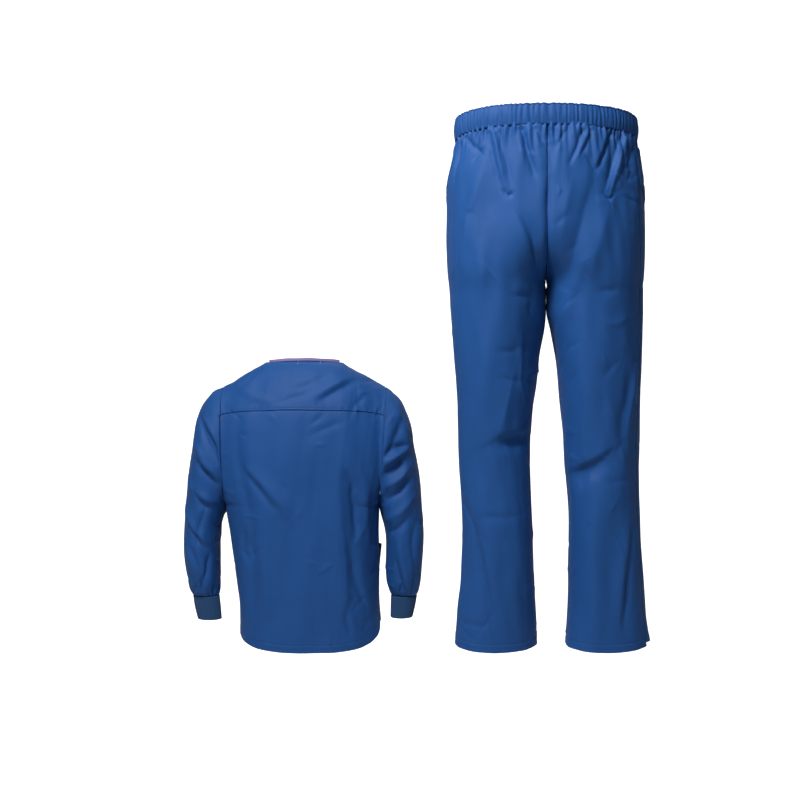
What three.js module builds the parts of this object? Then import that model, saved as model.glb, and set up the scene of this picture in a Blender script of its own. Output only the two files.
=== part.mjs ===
// Medical scrubs: a long-sleeved top and elastic-waist pants, each standing open as if worn, with
// no wearer. Millimetres, +Z up. The backs face -Y and the wearer's right side is at +X.
// The origin is the middle of the pants' waist; the top stands beside and behind the pants.
import * as THREE from 'three';

// Cloth and seams
const WALL = 1.8;
const SEAM = 0.3;
const HALF_SEAM = SEAM / 2;
// Short step, as a share of a width, for reading the direction of a line on the cloth
const STEP = 0.01;

// Place of the top: the middle of its neck, seen from the middle of the pants' waist
const TOP_PLACE = new THREE.Vector3(-523, 500, -459);

// Pants
const BAND_HEIGHT = 39;
const BAND_WALL = 3;
const BAND_BULGE = 2;
const BAND_RISE_BACK = 10;
const GATHERS_PER_PANEL = 14;
const GATHER_DEPTH = 3.6;
const BAND_GATHER_SHARE = 0.8;
const SECTION_ROUNDNESS = 0.9;
const GATHER_LENGTH = 150;
const GATHERS_UNDER_POCKET = 0.12;
// How much the gathers and folds of the pants point sideways rather than straight back or front
const SIDEWAYS_SHARE = 0.4;
const SEAT_SEAM_START = -165;
const CROTCH = -327;
const PANTS_HEM_BACK = -1037;
const PANTS_HEM_FRONT = -1030;
const HEM_SIDE_RISE = 6;
// The pants are turned a little on their waist, and their side seams lie behind the sides.
const PANTS_TWIST = 0.1;
const SIDE_SEAM_ANGLE = { left: 0.06, right: 0.46 };

// Top
const SHOULDER_HALF = 198;
const SHOULDER_DROP = 59;
const SHOULDER_BACK = 8;
const SHOULDER_EASE = 60;
const NECK_HALF = 93;
const BACK_NECK_RISE = 4.5;
const BACK_NECK_SET_BACK = 30;
const V_NECK_DROP = 150;
const V_NECK_CURVE = 0.92;
const UNDERARM = -341;
const ARMHOLE_HALF_DEPTH = 88;
const ROLL_END = -165;
// Section of the body: how flat its middle is and how round its sides are
const BODY_FLATNESS = 2.5;
const BODY_ROUNDNESS = 2.3;
const YOKE_SEAM_MIDDLE = -114;
const YOKE_SEAM_SIDE = -129;
const TOP_HEM_BACK = -683;
const TOP_HEM_FRONT = -668;
const SIDE_HEM = { left: -645, right: -621 };
const HEM_CURVE = { left: 2.2, right: 3.5 };
// From this level down, over this length, the rows of the back take on the curve of its hem
const HEM_ROWS_START = -450;
const HEM_ROWS_LENGTH = 230;
const HEM_ROWS_SHARE = 0.8;
const TAPE_HEIGHT = 9;
const TAPE_WALL = 1.4;
const TAPE_STAND = 6;
const TAPE_INSET = 1.3;
const TAPE_REACH = 0.93;
const CUFF_RIBS = 30;
const CUFF_RIB_HEIGHT = 0.5;
const CUFF_WALL = 2.4;
const SLEEVE_GATHER_DEPTH = 1.6;
const SLEEVE_GATHER_AT_EDGE = 0.6;
const SLEEVE_LENGTH = 560;
const SLEEVE_COLUMNS = 24;

const finishes = {
  cloth: { color: 0x1f4a8a, roughness: 0.75, metalness: 0 },
  rib: { color: 0x284b73, roughness: 0.9, metalness: 0 },
  tape: { color: 0x8f7ea6, roughness: 0.85, metalness: 0 },
};

// Pants sections: half-depth at the back and front, and the places of the side and inner leg
// lines of each leg. Above the crotch only the side lines are used.
const pantsSections = [
  { z: -35, back: 115, front: 113, leftSide: -179, leftInner: 0, rightInner: 0, rightSide: 180 },
  { z: -72, back: 119, front: 116, leftSide: -184, leftInner: 0, rightInner: 0, rightSide: 185 },
  { z: -120, back: 124, front: 118, leftSide: -194, leftInner: 0, rightInner: 0, rightSide: 193 },
  { z: -216, back: 128, front: 118, leftSide: -197, leftInner: 0, rightInner: 0, rightSide: 197 },
  { z: -287, back: 119, front: 112, leftSide: -195, leftInner: -1, rightInner: 1, rightSide: 195 },
  { z: -335, back: 109, front: 103, leftSide: -191, leftInner: -1, rightInner: 1, rightSide: 193 },
  { z: -383, back: 103, front: 99, leftSide: -189, leftInner: -1, rightInner: 4, rightSide: 193 },
  { z: -454, back: 97, front: 95, leftSide: -185, leftInner: -12, rightInner: 17, rightSide: 190 },
  { z: -526, back: 92, front: 92, leftSide: -179, leftInner: -20, rightInner: 26, rightSide: 187 },
  { z: -598, back: 86, front: 88, leftSide: -175, leftInner: -30, rightInner: 32, rightSide: 185 },
  { z: -669, back: 81, front: 86, leftSide: -173, leftInner: -33, rightInner: 36, rightSide: 185 },
  { z: -741, back: 79, front: 84, leftSide: -169, leftInner: -31, rightInner: 42, rightSide: 185 },
  { z: -813, back: 77, front: 82, leftSide: -165, leftInner: -28, rightInner: 44, rightSide: 189 },
  { z: -884, back: 76, front: 81, leftSide: -167, leftInner: -24, rightInner: 44, rightSide: 193 },
  { z: -956, back: 75, front: 80, leftSide: -173, leftInner: -21, rightInner: 42, rightSide: 197 },
  { z: -1040, back: 75, front: 79, leftSide: -180, leftInner: -19, rightInner: 37, rightSide: 206 },
];

// Hip pockets: from the side seam towards the front, below the band; the lower edge slants.
const HIP_POCKET = { outer: 0.975, inner: 0.66, top: -60, bottom: -134, slant: 34, lift: 1.7 };
const HIP_POCKET_CELLS = 8;
const HIP_POCKET_MARGIN = 0.04;

// Levels of the rows of the leg panels; the first ones carry the gathers of the waist.
const gatherLevels = [-(BAND_HEIGHT + SEAM), -64, -98, -138];
const legLevels = [-190, -226, -258, -285, -306, -320, -330, -354, -396, -442, -490, -540, -590, -638,
  -688, -740, -798, -858, -920, -980];

// A fold's depth fades towards both ends of its line, and past them for a short way.
const FOLD_FADE_START = 0.08;
const FOLD_FADE_SPAN = 0.84;
const FOLD_PAST_END = 0.09;

// Largest folds of the pants: a line on the back or front, its half-width and its depth.
const pantsFolds = [
  { face: -1, x0: -58, z0: -38, x1: -32, z1: -150, half: 15, depth: 5 },
  { face: -1, x0: -111, z0: -50, x1: -86, z1: -178, half: 15, depth: 4 },
  { face: -1, x0: 139, z0: -60, x1: 104, z1: -185, half: 15, depth: -4 },
  { face: -1, x0: 112, z0: -45, x1: 80, z1: -125, half: 14, depth: 4 },
  { face: -1, x0: 73, z0: -126, x1: 26, z1: -270, half: 20, depth: 6 },
  { face: -1, x0: -60, z0: -180, x1: -17, z1: -284, half: 18, depth: 6 },
  { face: -1, x0: -105, z0: -627, x1: -42, z1: -617, half: 26, depth: 5 },
  { face: -1, x0: -165, z0: -760, x1: -111, z1: -990, half: 24, depth: 6 },
  { face: -1, x0: 42, z0: -692, x1: 118, z1: -647, half: 26, depth: 6 },
  { face: 1, x0: 62, z0: -70, x1: 34, z1: -190, half: 16, depth: 5 },
  { face: 1, x0: -66, z0: -64, x1: -38, z1: -200, half: 16, depth: 5 },
  { face: 1, x0: 120, z0: -246, x1: 24, z1: -318, half: 20, depth: 6 },
  { face: 1, x0: -126, z0: -240, x1: -24, z1: -316, half: 20, depth: 6 },
  { face: 1, x0: -140, z0: -690, x1: -60, z1: -730, half: 28, depth: 5 },
  { face: 1, x0: 62, z0: -676, x1: 150, z1: -724, half: 28, depth: 6 },
];

// Body of the top: side lines and half-depths, measured from the middle of the neck.
const bodySections = [
  { z: 0, left: -189.5, right: 181.5, back: 90, front: 84 },
  { z: -67, left: -189.5, right: 181.5, back: 104, front: 98 },
  { z: -120, left: -189.5, right: 181.5, back: 114, front: 112 },
  { z: -165, left: -189.5, right: 181.5, back: 120, front: 122 },
  { z: -230, left: -189.5, right: 181.5, back: 126, front: 130 },
  { z: -341, left: -189.5, right: 181.5, back: 124, front: 129 },
  { z: -410, left: -181, right: 179, back: 121, front: 127 },
  { z: -472, left: -173, right: 181, back: 119, front: 126 },
  { z: -531, left: -166, right: 181, back: 118, front: 126 },
  { z: -589, left: -158, right: 182, back: 118, front: 127 },
  { z: -690, left: -155, right: 192, back: 118, front: 128 },
];
const armholeAngles = [77, 97, 116, 134, 150, 164, 180];
const belowArmLevels = [-374, -410, -447, -487, -527, -567, -606];

// Largest folds of the top
const topFolds = [
  { face: -1, x0: 119, z0: -48, x1: 44, z1: -94, half: 16, depth: 4 },
  { face: -1, x0: -125, z0: -252, x1: -30, z1: -348, half: 20, depth: 5 },
  { face: -1, x0: -113, z0: -400, x1: -115, z1: -640, half: 26, depth: 5 },
  { face: -1, x0: 92, z0: -240, x1: 128, z1: -675, half: 26, depth: 6 },
  { face: 1, x0: 110, z0: -380, x1: 96, z1: -660, half: 26, depth: 5 },
  { face: 1, x0: -104, z0: -360, x1: -120, z1: -650, half: 26, depth: 5 },
  { face: 1, x0: 150, z0: -250, x1: 60, z1: -330, half: 22, depth: 5 },
  { face: 1, x0: -150, z0: -240, x1: -70, z1: -330, half: 22, depth: 5 },
];

// Sleeve sections run from the armhole to the cuff: the outer and the inner line, seen from the
// back, and the half-depth. x counts outward from the middle of the body.
const rightSleeve = [
  { outerX: 198, outerZ: -59, innerX: 181.5, innerZ: -341, half: 88 },
  { outerX: 217, outerZ: -71, innerX: 182.2, innerZ: -346, half: 87 },
  { outerX: 236, outerZ: -92, innerX: 183, innerZ: -351, half: 85 },
  { outerX: 250, outerZ: -121, innerX: 184, innerZ: -357, half: 82 },
  { outerX: 261, outerZ: -159, innerX: 186, innerZ: -365, half: 78 },
  { outerX: 269, outerZ: -205, innerX: 188.5, innerZ: -375, half: 74 },
  { outerX: 277, outerZ: -252, innerX: 192, innerZ: -388, half: 71 },
  { outerX: 282.5, outerZ: -299, innerX: 195, innerZ: -404, half: 69 },
  { outerX: 285, outerZ: -346, innerX: 197.5, innerZ: -423, half: 67 },
  { outerX: 288, outerZ: -390, innerX: 198, innerZ: -443, half: 66 },
  { outerX: 289, outerZ: -430, innerX: 198, innerZ: -463, half: 64 },
  { outerX: 288, outerZ: -466, innerX: 198, innerZ: -485, half: 61 },
  { outerX: 286, outerZ: -498, innerX: 198.5, innerZ: -508, half: 57 },
  { outerX: 284, outerZ: -528, innerX: 201, innerZ: -532, half: 52 },
  { outerX: 280, outerZ: -550, innerX: 206, innerZ: -551, half: 44 },
  { outerX: 274, outerZ: -566, innerX: 210, innerZ: -566, half: 33 },
];
const leftSleeve = [
  { outerX: 198, outerZ: -59, innerX: 189.5, innerZ: -341, half: 88 },
  { outerX: 219, outerZ: -70, innerX: 190, innerZ: -346, half: 87 },
  { outerX: 239, outerZ: -89, innerX: 191, innerZ: -351, half: 85 },
  { outerX: 255, outerZ: -115, innerX: 192, innerZ: -357, half: 82 },
  { outerX: 266, outerZ: -150, innerX: 194.5, innerZ: -365, half: 78 },
  { outerX: 273, outerZ: -199, innerX: 198, innerZ: -375, half: 74 },
  { outerX: 279, outerZ: -250, innerX: 202, innerZ: -388, half: 71 },
  { outerX: 284, outerZ: -297, innerX: 205, innerZ: -404, half: 69 },
  { outerX: 288, outerZ: -344, innerX: 207, innerZ: -423, half: 67 },
  { outerX: 291, outerZ: -389, innerX: 207, innerZ: -443, half: 66 },
  { outerX: 292.5, outerZ: -430, innerX: 207, innerZ: -463, half: 64 },
  { outerX: 292, outerZ: -466, innerX: 207, innerZ: -485, half: 61 },
  { outerX: 288, outerZ: -498, innerX: 206.5, innerZ: -508, half: 57 },
  { outerX: 283, outerZ: -528, innerX: 206, innerZ: -532, half: 52 },
  { outerX: 279, outerZ: -550, innerX: 206.5, innerZ: -551, half: 44 },
  { outerX: 272, outerZ: -566, innerX: 208, innerZ: -566, half: 33 },
];

// Cuff sections, from the sleeve's end down to the open end.
const cuffSections = {
  right: [
    { outerX: 273.5, innerX: 210.5, z: -566.3, half: 32 },
    { outerX: 269, innerX: 209.5, z: -592, half: 29 },
    { outerX: 262, innerX: 209, z: -620, half: 26 },
  ],
  left: [
    { outerX: 271.5, innerX: 208.5, z: -566.3, half: 32 },
    { outerX: 267, innerX: 205, z: -594, half: 29 },
    { outerX: 259, innerX: 202, z: -624, half: 26 },
  ],
};

// Sleeve folds: place along the sleeve (0 at the armhole, 1 at the cuff), place round it in
// degrees (0 is the outer line, 90 the front, 270 the back), the turn of the fold and its depth.
const sleeveFolds = {
  left: [
    { along: 0.36, round: 300, turn: -55, half: 9, depth: 6, run: 26 },
    { along: 0.62, round: 245, turn: 35, half: 10, depth: 4, run: 40 },
    { along: 0.78, round: 300, turn: -30, half: 9, depth: 4, run: 40 },
    { along: 0.5, round: 80, turn: 40, half: 10, depth: 4, run: 45 },
    { along: 0.74, round: 110, turn: -30, half: 9, depth: 4, run: 45 },
  ],
  right: [
    { along: 0.34, round: 300, turn: 30, half: 9, depth: 5, run: 34 },
    { along: 0.58, round: 270, turn: -30, half: 9, depth: 4, run: 40 },
    { along: 0.76, round: 250, turn: 30, half: 9, depth: 4, run: 40 },
    { along: 0.48, round: 100, turn: -40, half: 10, depth: 4, run: 45 },
    { along: 0.72, round: 70, turn: 30, half: 9, depth: 4, run: 45 },
  ],
};

// Patch pockets on the top's front: they lie between two columns and two rows of its cloth, and
// the upper outer corner stands off by the lift.
const pockets = {
  right: { inner: 0.156, outer: 0.862, top: -447, bottom: -606, lift: 6 },
  left: { inner: -0.156, outer: -0.862, top: -447, bottom: -606, lift: 3 },
};

const point = (x, y, z) => new THREE.Vector3(x, y, z);
const clamp01 = (t) => Math.min(1, Math.max(0, t));
const mix = (a, b, t) => a + (b - a) * t;
const smooth = (t) => clamp01(t) ** 2 * (3 - 2 * clamp01(t));

// A table's value at a level, eased between its rows.
function atLevel(table, z, column) {
  if (z >= table[0].z) return table[0][column];
  for (let i = 1; i < table.length; i++) {
    if (z >= table[i].z) {
      const before = table[Math.max(0, i - 2)];
      const [upper, lower] = [table[i - 1], table[i]];
      const after = table[Math.min(table.length - 1, i + 1)];
      const t = (upper.z - z) / (upper.z - lower.z);
      const span = upper.z - lower.z;
      const slopeUpper = (lower[column] - before[column]) / Math.max(before.z - lower.z, 1) * span;
      const slopeLower = (after[column] - upper[column]) / Math.max(upper.z - after.z, 1) * span;
      const t2 = t * t;
      const t3 = t2 * t;
      return (2 * t3 - 3 * t2 + 1) * upper[column] + (t3 - 2 * t2 + t) * slopeUpper
        + (3 * t2 - 2 * t3) * lower[column] + (t3 - t2) * slopeLower;
    }
  }
  return table[table.length - 1][column];
}

// Depth of all folds of one face at a place: each is a soft trough along its line.
function foldDepth(folds, face, x, z) {
  let depth = 0;
  for (const fold of folds.filter((f) => f.face === face)) {
    const dx = fold.x1 - fold.x0;
    const dz = fold.z1 - fold.z0;
    const length = Math.hypot(dx, dz);
    const along = ((x - fold.x0) * dx + (z - fold.z0) * dz) / length / length;
    const across = Math.abs((x - fold.x0) * dz - (z - fold.z0) * dx) / length;
    const ends = Math.sin(Math.PI * clamp01(along * FOLD_FADE_SPAN + FOLD_FADE_START)) ** 0.7;
    if (along > -FOLD_PAST_END && along < 1 + FOLD_PAST_END) {
      depth += fold.depth * ends * Math.exp(-((across / fold.half) ** 2));
    }
  }
  return depth;
}

// Triangles between rows of points, rows downward and columns anticlockwise from above.
// A row may have half as many cells as the one above it.
function rowTriangles(rows, closed) {
  const triangles = [];
  let start = 0;
  for (let r = 0; r + 1 < rows.length; r++) {
    const [upper, lower] = [rows[r].length, rows[r + 1].length];
    const next = start + upper;
    const a = (i) => start + (closed ? i % upper : i);
    const b = (i) => next + (closed ? i % lower : i);
    const cells = closed ? lower : lower - 1;
    for (let i = 0; i < cells; i++) {
      if (upper === lower) {
        triangles.push([a(i), b(i), b(i + 1)], [a(i), b(i + 1), a(i + 1)]);
      } else {
        triangles.push([a(2 * i), b(i), a(2 * i + 1)], [b(i), b(i + 1), a(2 * i + 1)],
          [a(2 * i + 1), b(i + 1), a(2 * i + 2)]);
      }
    }
    start = next;
  }
  return triangles;
}

function pointNormals(points, triangles) {
  const normals = points.map(() => point(0, 0, 0));
  for (const [i, j, k] of triangles) {
    const face = points[j].clone().sub(points[i]).cross(points[k].clone().sub(points[i]));
    for (const n of [i, j, k]) normals[n].add(face);
  }
  return normals;
}

// A closed wall of cloth from its outer rows. guide(normal, row, column) may turn the way in
// at an edge, so that both pieces of a seam go in side by side; innerRows replaces the way in.
function clothWall(rows, { closed = false, wall = WALL, guide = null, innerRows = null } = {}) {
  const outer = rows.flat();
  const triangles = rowTriangles(rows, closed);
  let inner = innerRows ? innerRows.flat() : null;
  if (!inner) {
    const normals = pointNormals(outer, triangles);
    inner = [];
    rows.forEach((row, r) => row.forEach((p, c) => {
      const normal = normals[inner.length];
      if (guide) guide(normal, r, c);
      inner.push(p.clone().addScaledVector(normal.normalize(), -wall));
    }));
  }
  const count = outer.length;
  const edges = new Set(triangles.flatMap(([i, j, k]) => [`${i},${j}`, `${j},${k}`, `${k},${i}`]));
  const faces = [];
  for (const [i, j, k] of triangles) {
    faces.push(i, j, k, i + count, k + count, j + count);
    for (const [from, to] of [[i, j], [j, k], [k, i]]) {
      if (!edges.has(`${to},${from}`)) faces.push(to, from, from + count, to, from + count, to + count);
    }
  }
  const geometry = new THREE.BufferGeometry();
  geometry.setAttribute('position', new THREE.Float32BufferAttribute(
    [...outer, ...inner].flatMap((p) => [p.x, p.y, p.z]), 3));
  geometry.setIndex(faces);
  geometry.computeVertexNormals();
  return geometry;
}

function clothMesh(name, geometry, finish) {
  const mesh = new THREE.Mesh(geometry, new THREE.MeshStandardMaterial(finishes[finish]));
  mesh.name = name;
  return mesh;
}

// Same rows for the other side of the body: the columns run the other way.
const mirrored = (rows) => rows.map((row) => row.map((p) => point(-p.x, p.y, p.z)).reverse());

// Pants

// A point of one leg's surface. turn is 0 at the centre seam or inner leg and 1 at the side
// seam; face is -1 at the back and 1 at the front; x is given for the leg at +X.
function pantsPoint(side, face, turn, z) {
  const sideLine = Math.abs(atLevel(pantsSections, z, side === 'right' ? 'rightSide' : 'leftSide'));
  const innerLine = atLevel(pantsSections, z, side === 'right' ? 'rightInner' : 'leftInner');
  const fall = clamp01((SEAT_SEAM_START - z) / (SEAT_SEAM_START - CROTCH));
  const split = smooth(fall ** 1.6);
  const inner = Math.abs(innerLine) * fall;
  const centre = mix(0, (sideLine + inner) / 2, split);
  const half = sideLine - centre;
  const startAngle = Math.acos(clamp01((centre - inner) / half));
  const angle = mix(startAngle, Math.PI + face * SIDE_SEAM_ANGLE[side], turn);
  const [cos, sin] = [Math.cos(angle), Math.sin(angle)];
  const depth = atLevel(pantsSections, z, face * sin < 0 ? 'back' : 'front');
  const x = centre - half * Math.sign(cos) * Math.abs(cos) ** mix(SECTION_ROUNDNESS, 1, split);
  const y = face * Math.sign(sin) * depth * Math.abs(sin) ** SECTION_ROUNDNESS;
  return point(Math.max(x, inner), y, z);
}

// Gathers are uneven: each has its own depth.
const gatherShare = (i) => 0.72 + 0.28 * Math.sin(i * 2.4 + 0.7) * Math.cos(i * 0.9);

// The back of the waist rises towards its middle, on the band and on the cloth below it.
const backRise = (y) => BAND_RISE_BACK
  * clamp01(-y / atLevel(pantsSections, -BAND_HEIGHT, 'back')) ** (1 / SECTION_ROUNDNESS);

function legPanel(side, face) {
  const fine = GATHERS_PER_PANEL * 2;
  const coarse = GATHERS_PER_PANEL;
  const sign = side === 'right' ? 1 : -1;
  const hem = face < 0 ? PANTS_HEM_BACK : PANTS_HEM_FRONT;
  const levels = [...gatherLevels, ...legLevels, hem];
  const rows = levels.map((level, r) => {
    const columns = r < gatherLevels.length ? fine : coarse;
    const fade = smooth(1 + (level + BAND_HEIGHT) / GATHER_LENGTH);
    return Array.from({ length: columns + 1 }, (_, c) => {
      const turn = c / columns;
      const p = pantsPoint(side, face, turn, level);
      const rise = backRise(p.y) * fade;
      const hemRise = level === hem ? HEM_SIDE_RISE * (1 - Math.sin(turn * Math.PI)) : 0;
      const away = point(p.x * SIDEWAYS_SHARE, p.y, 0).normalize();
      const inFold = foldDepth(pantsFolds, face, p.x * sign, level) * Math.sin(turn * Math.PI);
      const ends = c === 0 || c === columns ? 0 : 1;
      const onPocket = face > 0 && turn > HIP_POCKET.inner - HIP_POCKET_MARGIN;
      const underPocket = onPocket ? GATHERS_UNDER_POCKET : 1;
      const gather = c % 2 ? GATHER_DEPTH * fade * underPocket * gatherShare(c + 7 * face) : 0;
      p.addScaledVector(away, ends * (gather - inFold));
      p.z += rise + hemRise;
      return p;
    });
  });
  const seamAngle = SIDE_SEAM_ANGLE[side];
  const seamOutward = point(Math.cos(seamAngle), -Math.sin(seamAngle), 0);
  const seamForward = point(Math.sin(seamAngle), Math.cos(seamAngle), 0);
  for (const row of rows) {
    row[0].x += row[0].z > CROTCH ? HALF_SEAM : 0;
    row[0].y += row[0].z > CROTCH ? 0 : face * HALF_SEAM;
    row[row.length - 1].addScaledVector(seamForward, face * HALF_SEAM);
    for (const p of row) p.x += sign * PANTS_TWIST * p.y;
  }
  const crotchRow = levels.findIndex((z) => z <= CROTCH);
  const last = (r) => rows[r].length - 1;
  const guide = (normal, r, c) => {
    if (c === last(r)) normal.set(sign * seamOutward.x, seamOutward.y, 0);
    if (c === 0 && r < crotchRow - 4) normal.x = 0;
    if (c === 0 && r >= crotchRow) normal.y = 0;
    if (r === 0 || r === rows.length - 1) normal.z = 0;
  };
  // Columns run anticlockwise: from the centre out at the back, from the side in at the front.
  let ordered = rows;
  let turned = guide;
  if (face > 0) {
    ordered = rows.map((row) => [...row].reverse());
    turned = (normal, r, c) => guide(normal, r, last(r) - c);
  }
  if (sign < 0) {
    const before = turned;
    ordered = mirrored(ordered);
    turned = (normal, r, c) => before(normal, r, last(r) - c);
  }
  return clothWall(ordered, { guide: turned });
}

function waistband() {
  const columns = 4 * GATHERS_PER_PANEL * 2;
  const rowsAt = (inset, ripple) => [0, 0.5, 1].map((down) => Array.from({ length: columns }, (_, c) => {
    const angle = (c / columns) * 2 * Math.PI;
    const [cos, sin] = [Math.cos(angle), Math.sin(angle)];
    const z = -BAND_HEIGHT * down + BAND_RISE_BACK * Math.max(0, -sin);
    const depth = atLevel(pantsSections, -BAND_HEIGHT, sin < 0 ? 'back' : 'front');
    const halfWidth = atLevel(pantsSections, -BAND_HEIGHT, 'rightSide');
    const bulge = BAND_BULGE * Math.sin(Math.PI * down) + (c % 2 ? ripple * gatherShare(c) : 0);
    const x = (halfWidth + bulge - inset) * Math.sign(cos) * Math.abs(cos) ** SECTION_ROUNDNESS;
    const y = (depth + bulge - inset) * Math.sign(sin) * Math.abs(sin) ** SECTION_ROUNDNESS;
    return point(x + PANTS_TWIST * y, y, z);
  }));
  const outer = rowsAt(0, GATHER_DEPTH * BAND_GATHER_SHARE);
  return clothWall(outer, { closed: true, innerRows: rowsAt(BAND_WALL, 0) });
}

// A hip pocket lies on the front beside the side seam, from the band to a slanting lower edge.
function hipPocket(side) {
  const sign = side === 'right' ? 1 : -1;
  const { inner, outer, top, bottom, slant, lift } = HIP_POCKET;
  const columns = Array.from({ length: HIP_POCKET_CELLS + 1 }, (_, i) => i / HIP_POCKET_CELLS);
  const rowsAt = (away) => [0, 0.25, 0.5, 0.75, 1].map((down) => columns.map((share) => {
    const turn = mix(outer, inner, share);
    const z = mix(top, bottom - slant * share, down);
    const p = pantsPoint(side, 1, turn, z);
    const beside = pantsPoint(side, 1, turn + STEP, z).sub(pantsPoint(side, 1, turn - STEP, z));
    const out = point(-beside.y, beside.x, 0).normalize();
    if (out.x * p.x + out.y * p.y < 0) out.negate();
    p.addScaledVector(out, away + lift);
    return point(sign * p.x + PANTS_TWIST * p.y, p.y, z);
  }));
  const ordered = (rows) => (sign > 0 ? rows : rows.map((row) => row.reverse()));
  return clothWall(ordered(rowsAt(WALL)), { innerRows: ordered(rowsAt(0)) });
}

// Top

// The shoulder line falls from the neck point to the shoulder point; inside the neck it is level.
const topLine = (x) => (Math.abs(x) < NECK_HALF ? 0
  : -SHOULDER_DROP * (Math.abs(x) - NECK_HALF) / (SHOULDER_HALF - NECK_HALF));

const ARMHOLE_MIDDLE = (UNDERARM - SHOULDER_DROP) / 2;
const ARMHOLE_HALF_HEIGHT = (-UNDERARM - SHOULDER_DROP) / 2;
const armholeDepth = (z) => ARMHOLE_HALF_DEPTH
  * Math.sqrt(Math.max(0, 1 - ((z - ARMHOLE_MIDDLE) / ARMHOLE_HALF_HEIGHT) ** 2));
const armholeLevel = (angle) => ARMHOLE_MIDDLE + ARMHOLE_HALF_HEIGHT * Math.cos(angle * Math.PI / 180);
const ROLL_ANGLE = Math.acos((ROLL_END - ARMHOLE_MIDDLE) / ARMHOLE_HALF_HEIGHT);

// Distance of the side seam from the middle; beside the armhole it runs straight up to the shoulder.
function sideDistance(x, z) {
  const side = Math.abs(atLevel(bodySections, Math.min(z, UNDERARM), x < 0 ? 'left' : 'right'));
  return mix(side, SHOULDER_HALF, clamp01((z - UNDERARM) / (-SHOULDER_DROP - UNDERARM)));
}

// A point of the body's surface. across is -1 at the left side or armhole and 1 at the right.
function bodyPoint(across, face, z) {
  const spread = Math.sin(across * Math.PI / 2);
  const side = sideDistance(across, z);
  const x = side * spread;
  const depthAt = (level) => {
    const depth = atLevel(bodySections, level, face < 0 ? 'back' : 'front');
    const flat = Math.max(0, 1 - Math.abs(spread) ** BODY_FLATNESS) ** (1 / BODY_ROUNDNESS);
    return depth * flat + armholeDepth(level) * (1 - flat) ** 2;
  };
  if (z <= ROLL_END) return point(x, face * depthAt(z), z);
  const neck = clamp01(1 - (x / NECK_HALF) ** 2);
  const neckBack = face < 0 ? BACK_NECK_SET_BACK * neck : 0;
  const start = -SHOULDER_BACK * smooth((SHOULDER_HALF - Math.abs(x)) / SHOULDER_EASE) - neckBack;
  const down = clamp01((topLine(x) - z) / (topLine(x) - ROLL_END));
  const roll = Math.sin(Math.acos(1 - down * (1 - Math.cos(ROLL_ANGLE)))) / Math.sin(ROLL_ANGLE);
  return point(x, mix(start, face * depthAt(ROLL_END), roll), z);
}

const acrossAt = (x, z) => Math.asin(x / sideDistance(x, z)) * 2 / Math.PI;

// The same point with the folds of its face pressed in; they end before the side seams.
function foldedBodyPoint(across, face, z) {
  const p = bodyPoint(across, face, z);
  const fade = smooth((1 - Math.abs(across)) * 6);
  p.y -= face * foldDepth(topFolds, face, p.x, z) * fade;
  return p;
}

const yokeSeam = (across) => mix(YOKE_SEAM_MIDDLE, YOKE_SEAM_SIDE, Math.abs(across) ** 2);

function hemLevel(across, face) {
  const middle = face < 0 ? TOP_HEM_BACK : TOP_HEM_FRONT;
  const side = across < 0 ? SIDE_HEM.left : SIDE_HEM.right;
  return mix(middle, side, Math.abs(across) ** (across < 0 ? HEM_CURVE.left : HEM_CURVE.right));
}

const NECK_COLUMN = 2 / Math.PI * Math.asin(NECK_HALF / SHOULDER_HALF);

// Columns of the yoke and the front, with one at each end of the shoulder seams.
function bodyColumns(inNeck, onShoulder) {
  const neck = Array.from({ length: inNeck + 1 }, (_, i) => mix(-NECK_COLUMN, NECK_COLUMN, i / inNeck));
  const shoulder = Array.from({ length: onShoulder }, (_, i) => mix(NECK_COLUMN, 1, (i + 1) / onShoulder));
  return [...shoulder.map((s) => -s).reverse(), ...neck, ...shoulder];
}

function seamEdges(rows, columns, face) {
  for (const row of rows) {
    for (const end of [0, columns.length - 1]) {
      if (row[end].z < UNDERARM + 1) row[end].y += face * HALF_SEAM;
    }
  }
}

function bodyGuide(rows, columns, face, { seamAbove = false, levelRow = -1 } = {}) {
  return (normal, r, c) => {
    const column = face < 0 ? c : columns.length - 1 - c;
    if (r === levelRow) {
      const [across, z] = [columns[column], rows[r][c].z];
      const along = bodyPoint(across + STEP, face, z).sub(bodyPoint(across - STEP, face, z));
      normal.set(-face * along.y, face * along.x, 0);
    }
    if (column === 0 || column === columns.length - 1) {
      if (rows[r][c].z > UNDERARM + 1) normal.x = 0;
      else normal.y = 0;
    }
    if (seamAbove && r === 0 && Math.abs(columns[column]) >= NECK_COLUMN - 1e-6) normal.y = 0;
  };
}

const forFace = (rows, face) => (face < 0 ? rows : rows.map((row) => [...row].reverse()));

function backYoke() {
  const columns = bodyColumns(12, 5);
  const rows = [0, 0.12, 0.3, 0.55, 0.8, 1].map((share) => columns.map((across) => {
    const x = SHOULDER_HALF * Math.sin(across * Math.PI / 2);
    const inNeck = Math.abs(across) < NECK_COLUMN - 1e-6;
    const top = inNeck ? BACK_NECK_RISE * (1 - (x / NECK_HALF) ** 2) : topLine(x);
    const z = mix(top, yokeSeam(across) + HALF_SEAM, share);
    const p = share > 0 && share < 1 ? foldedBodyPoint(across, -1, z) : bodyPoint(across, -1, z);
    if (share === 0) p.y -= HALF_SEAM;
    return p;
  }));
  const levelRow = rows.length - 1;
  return clothWall(rows, { guide: bodyGuide(rows, columns, -1, { seamAbove: true, levelRow }) });
}

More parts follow.
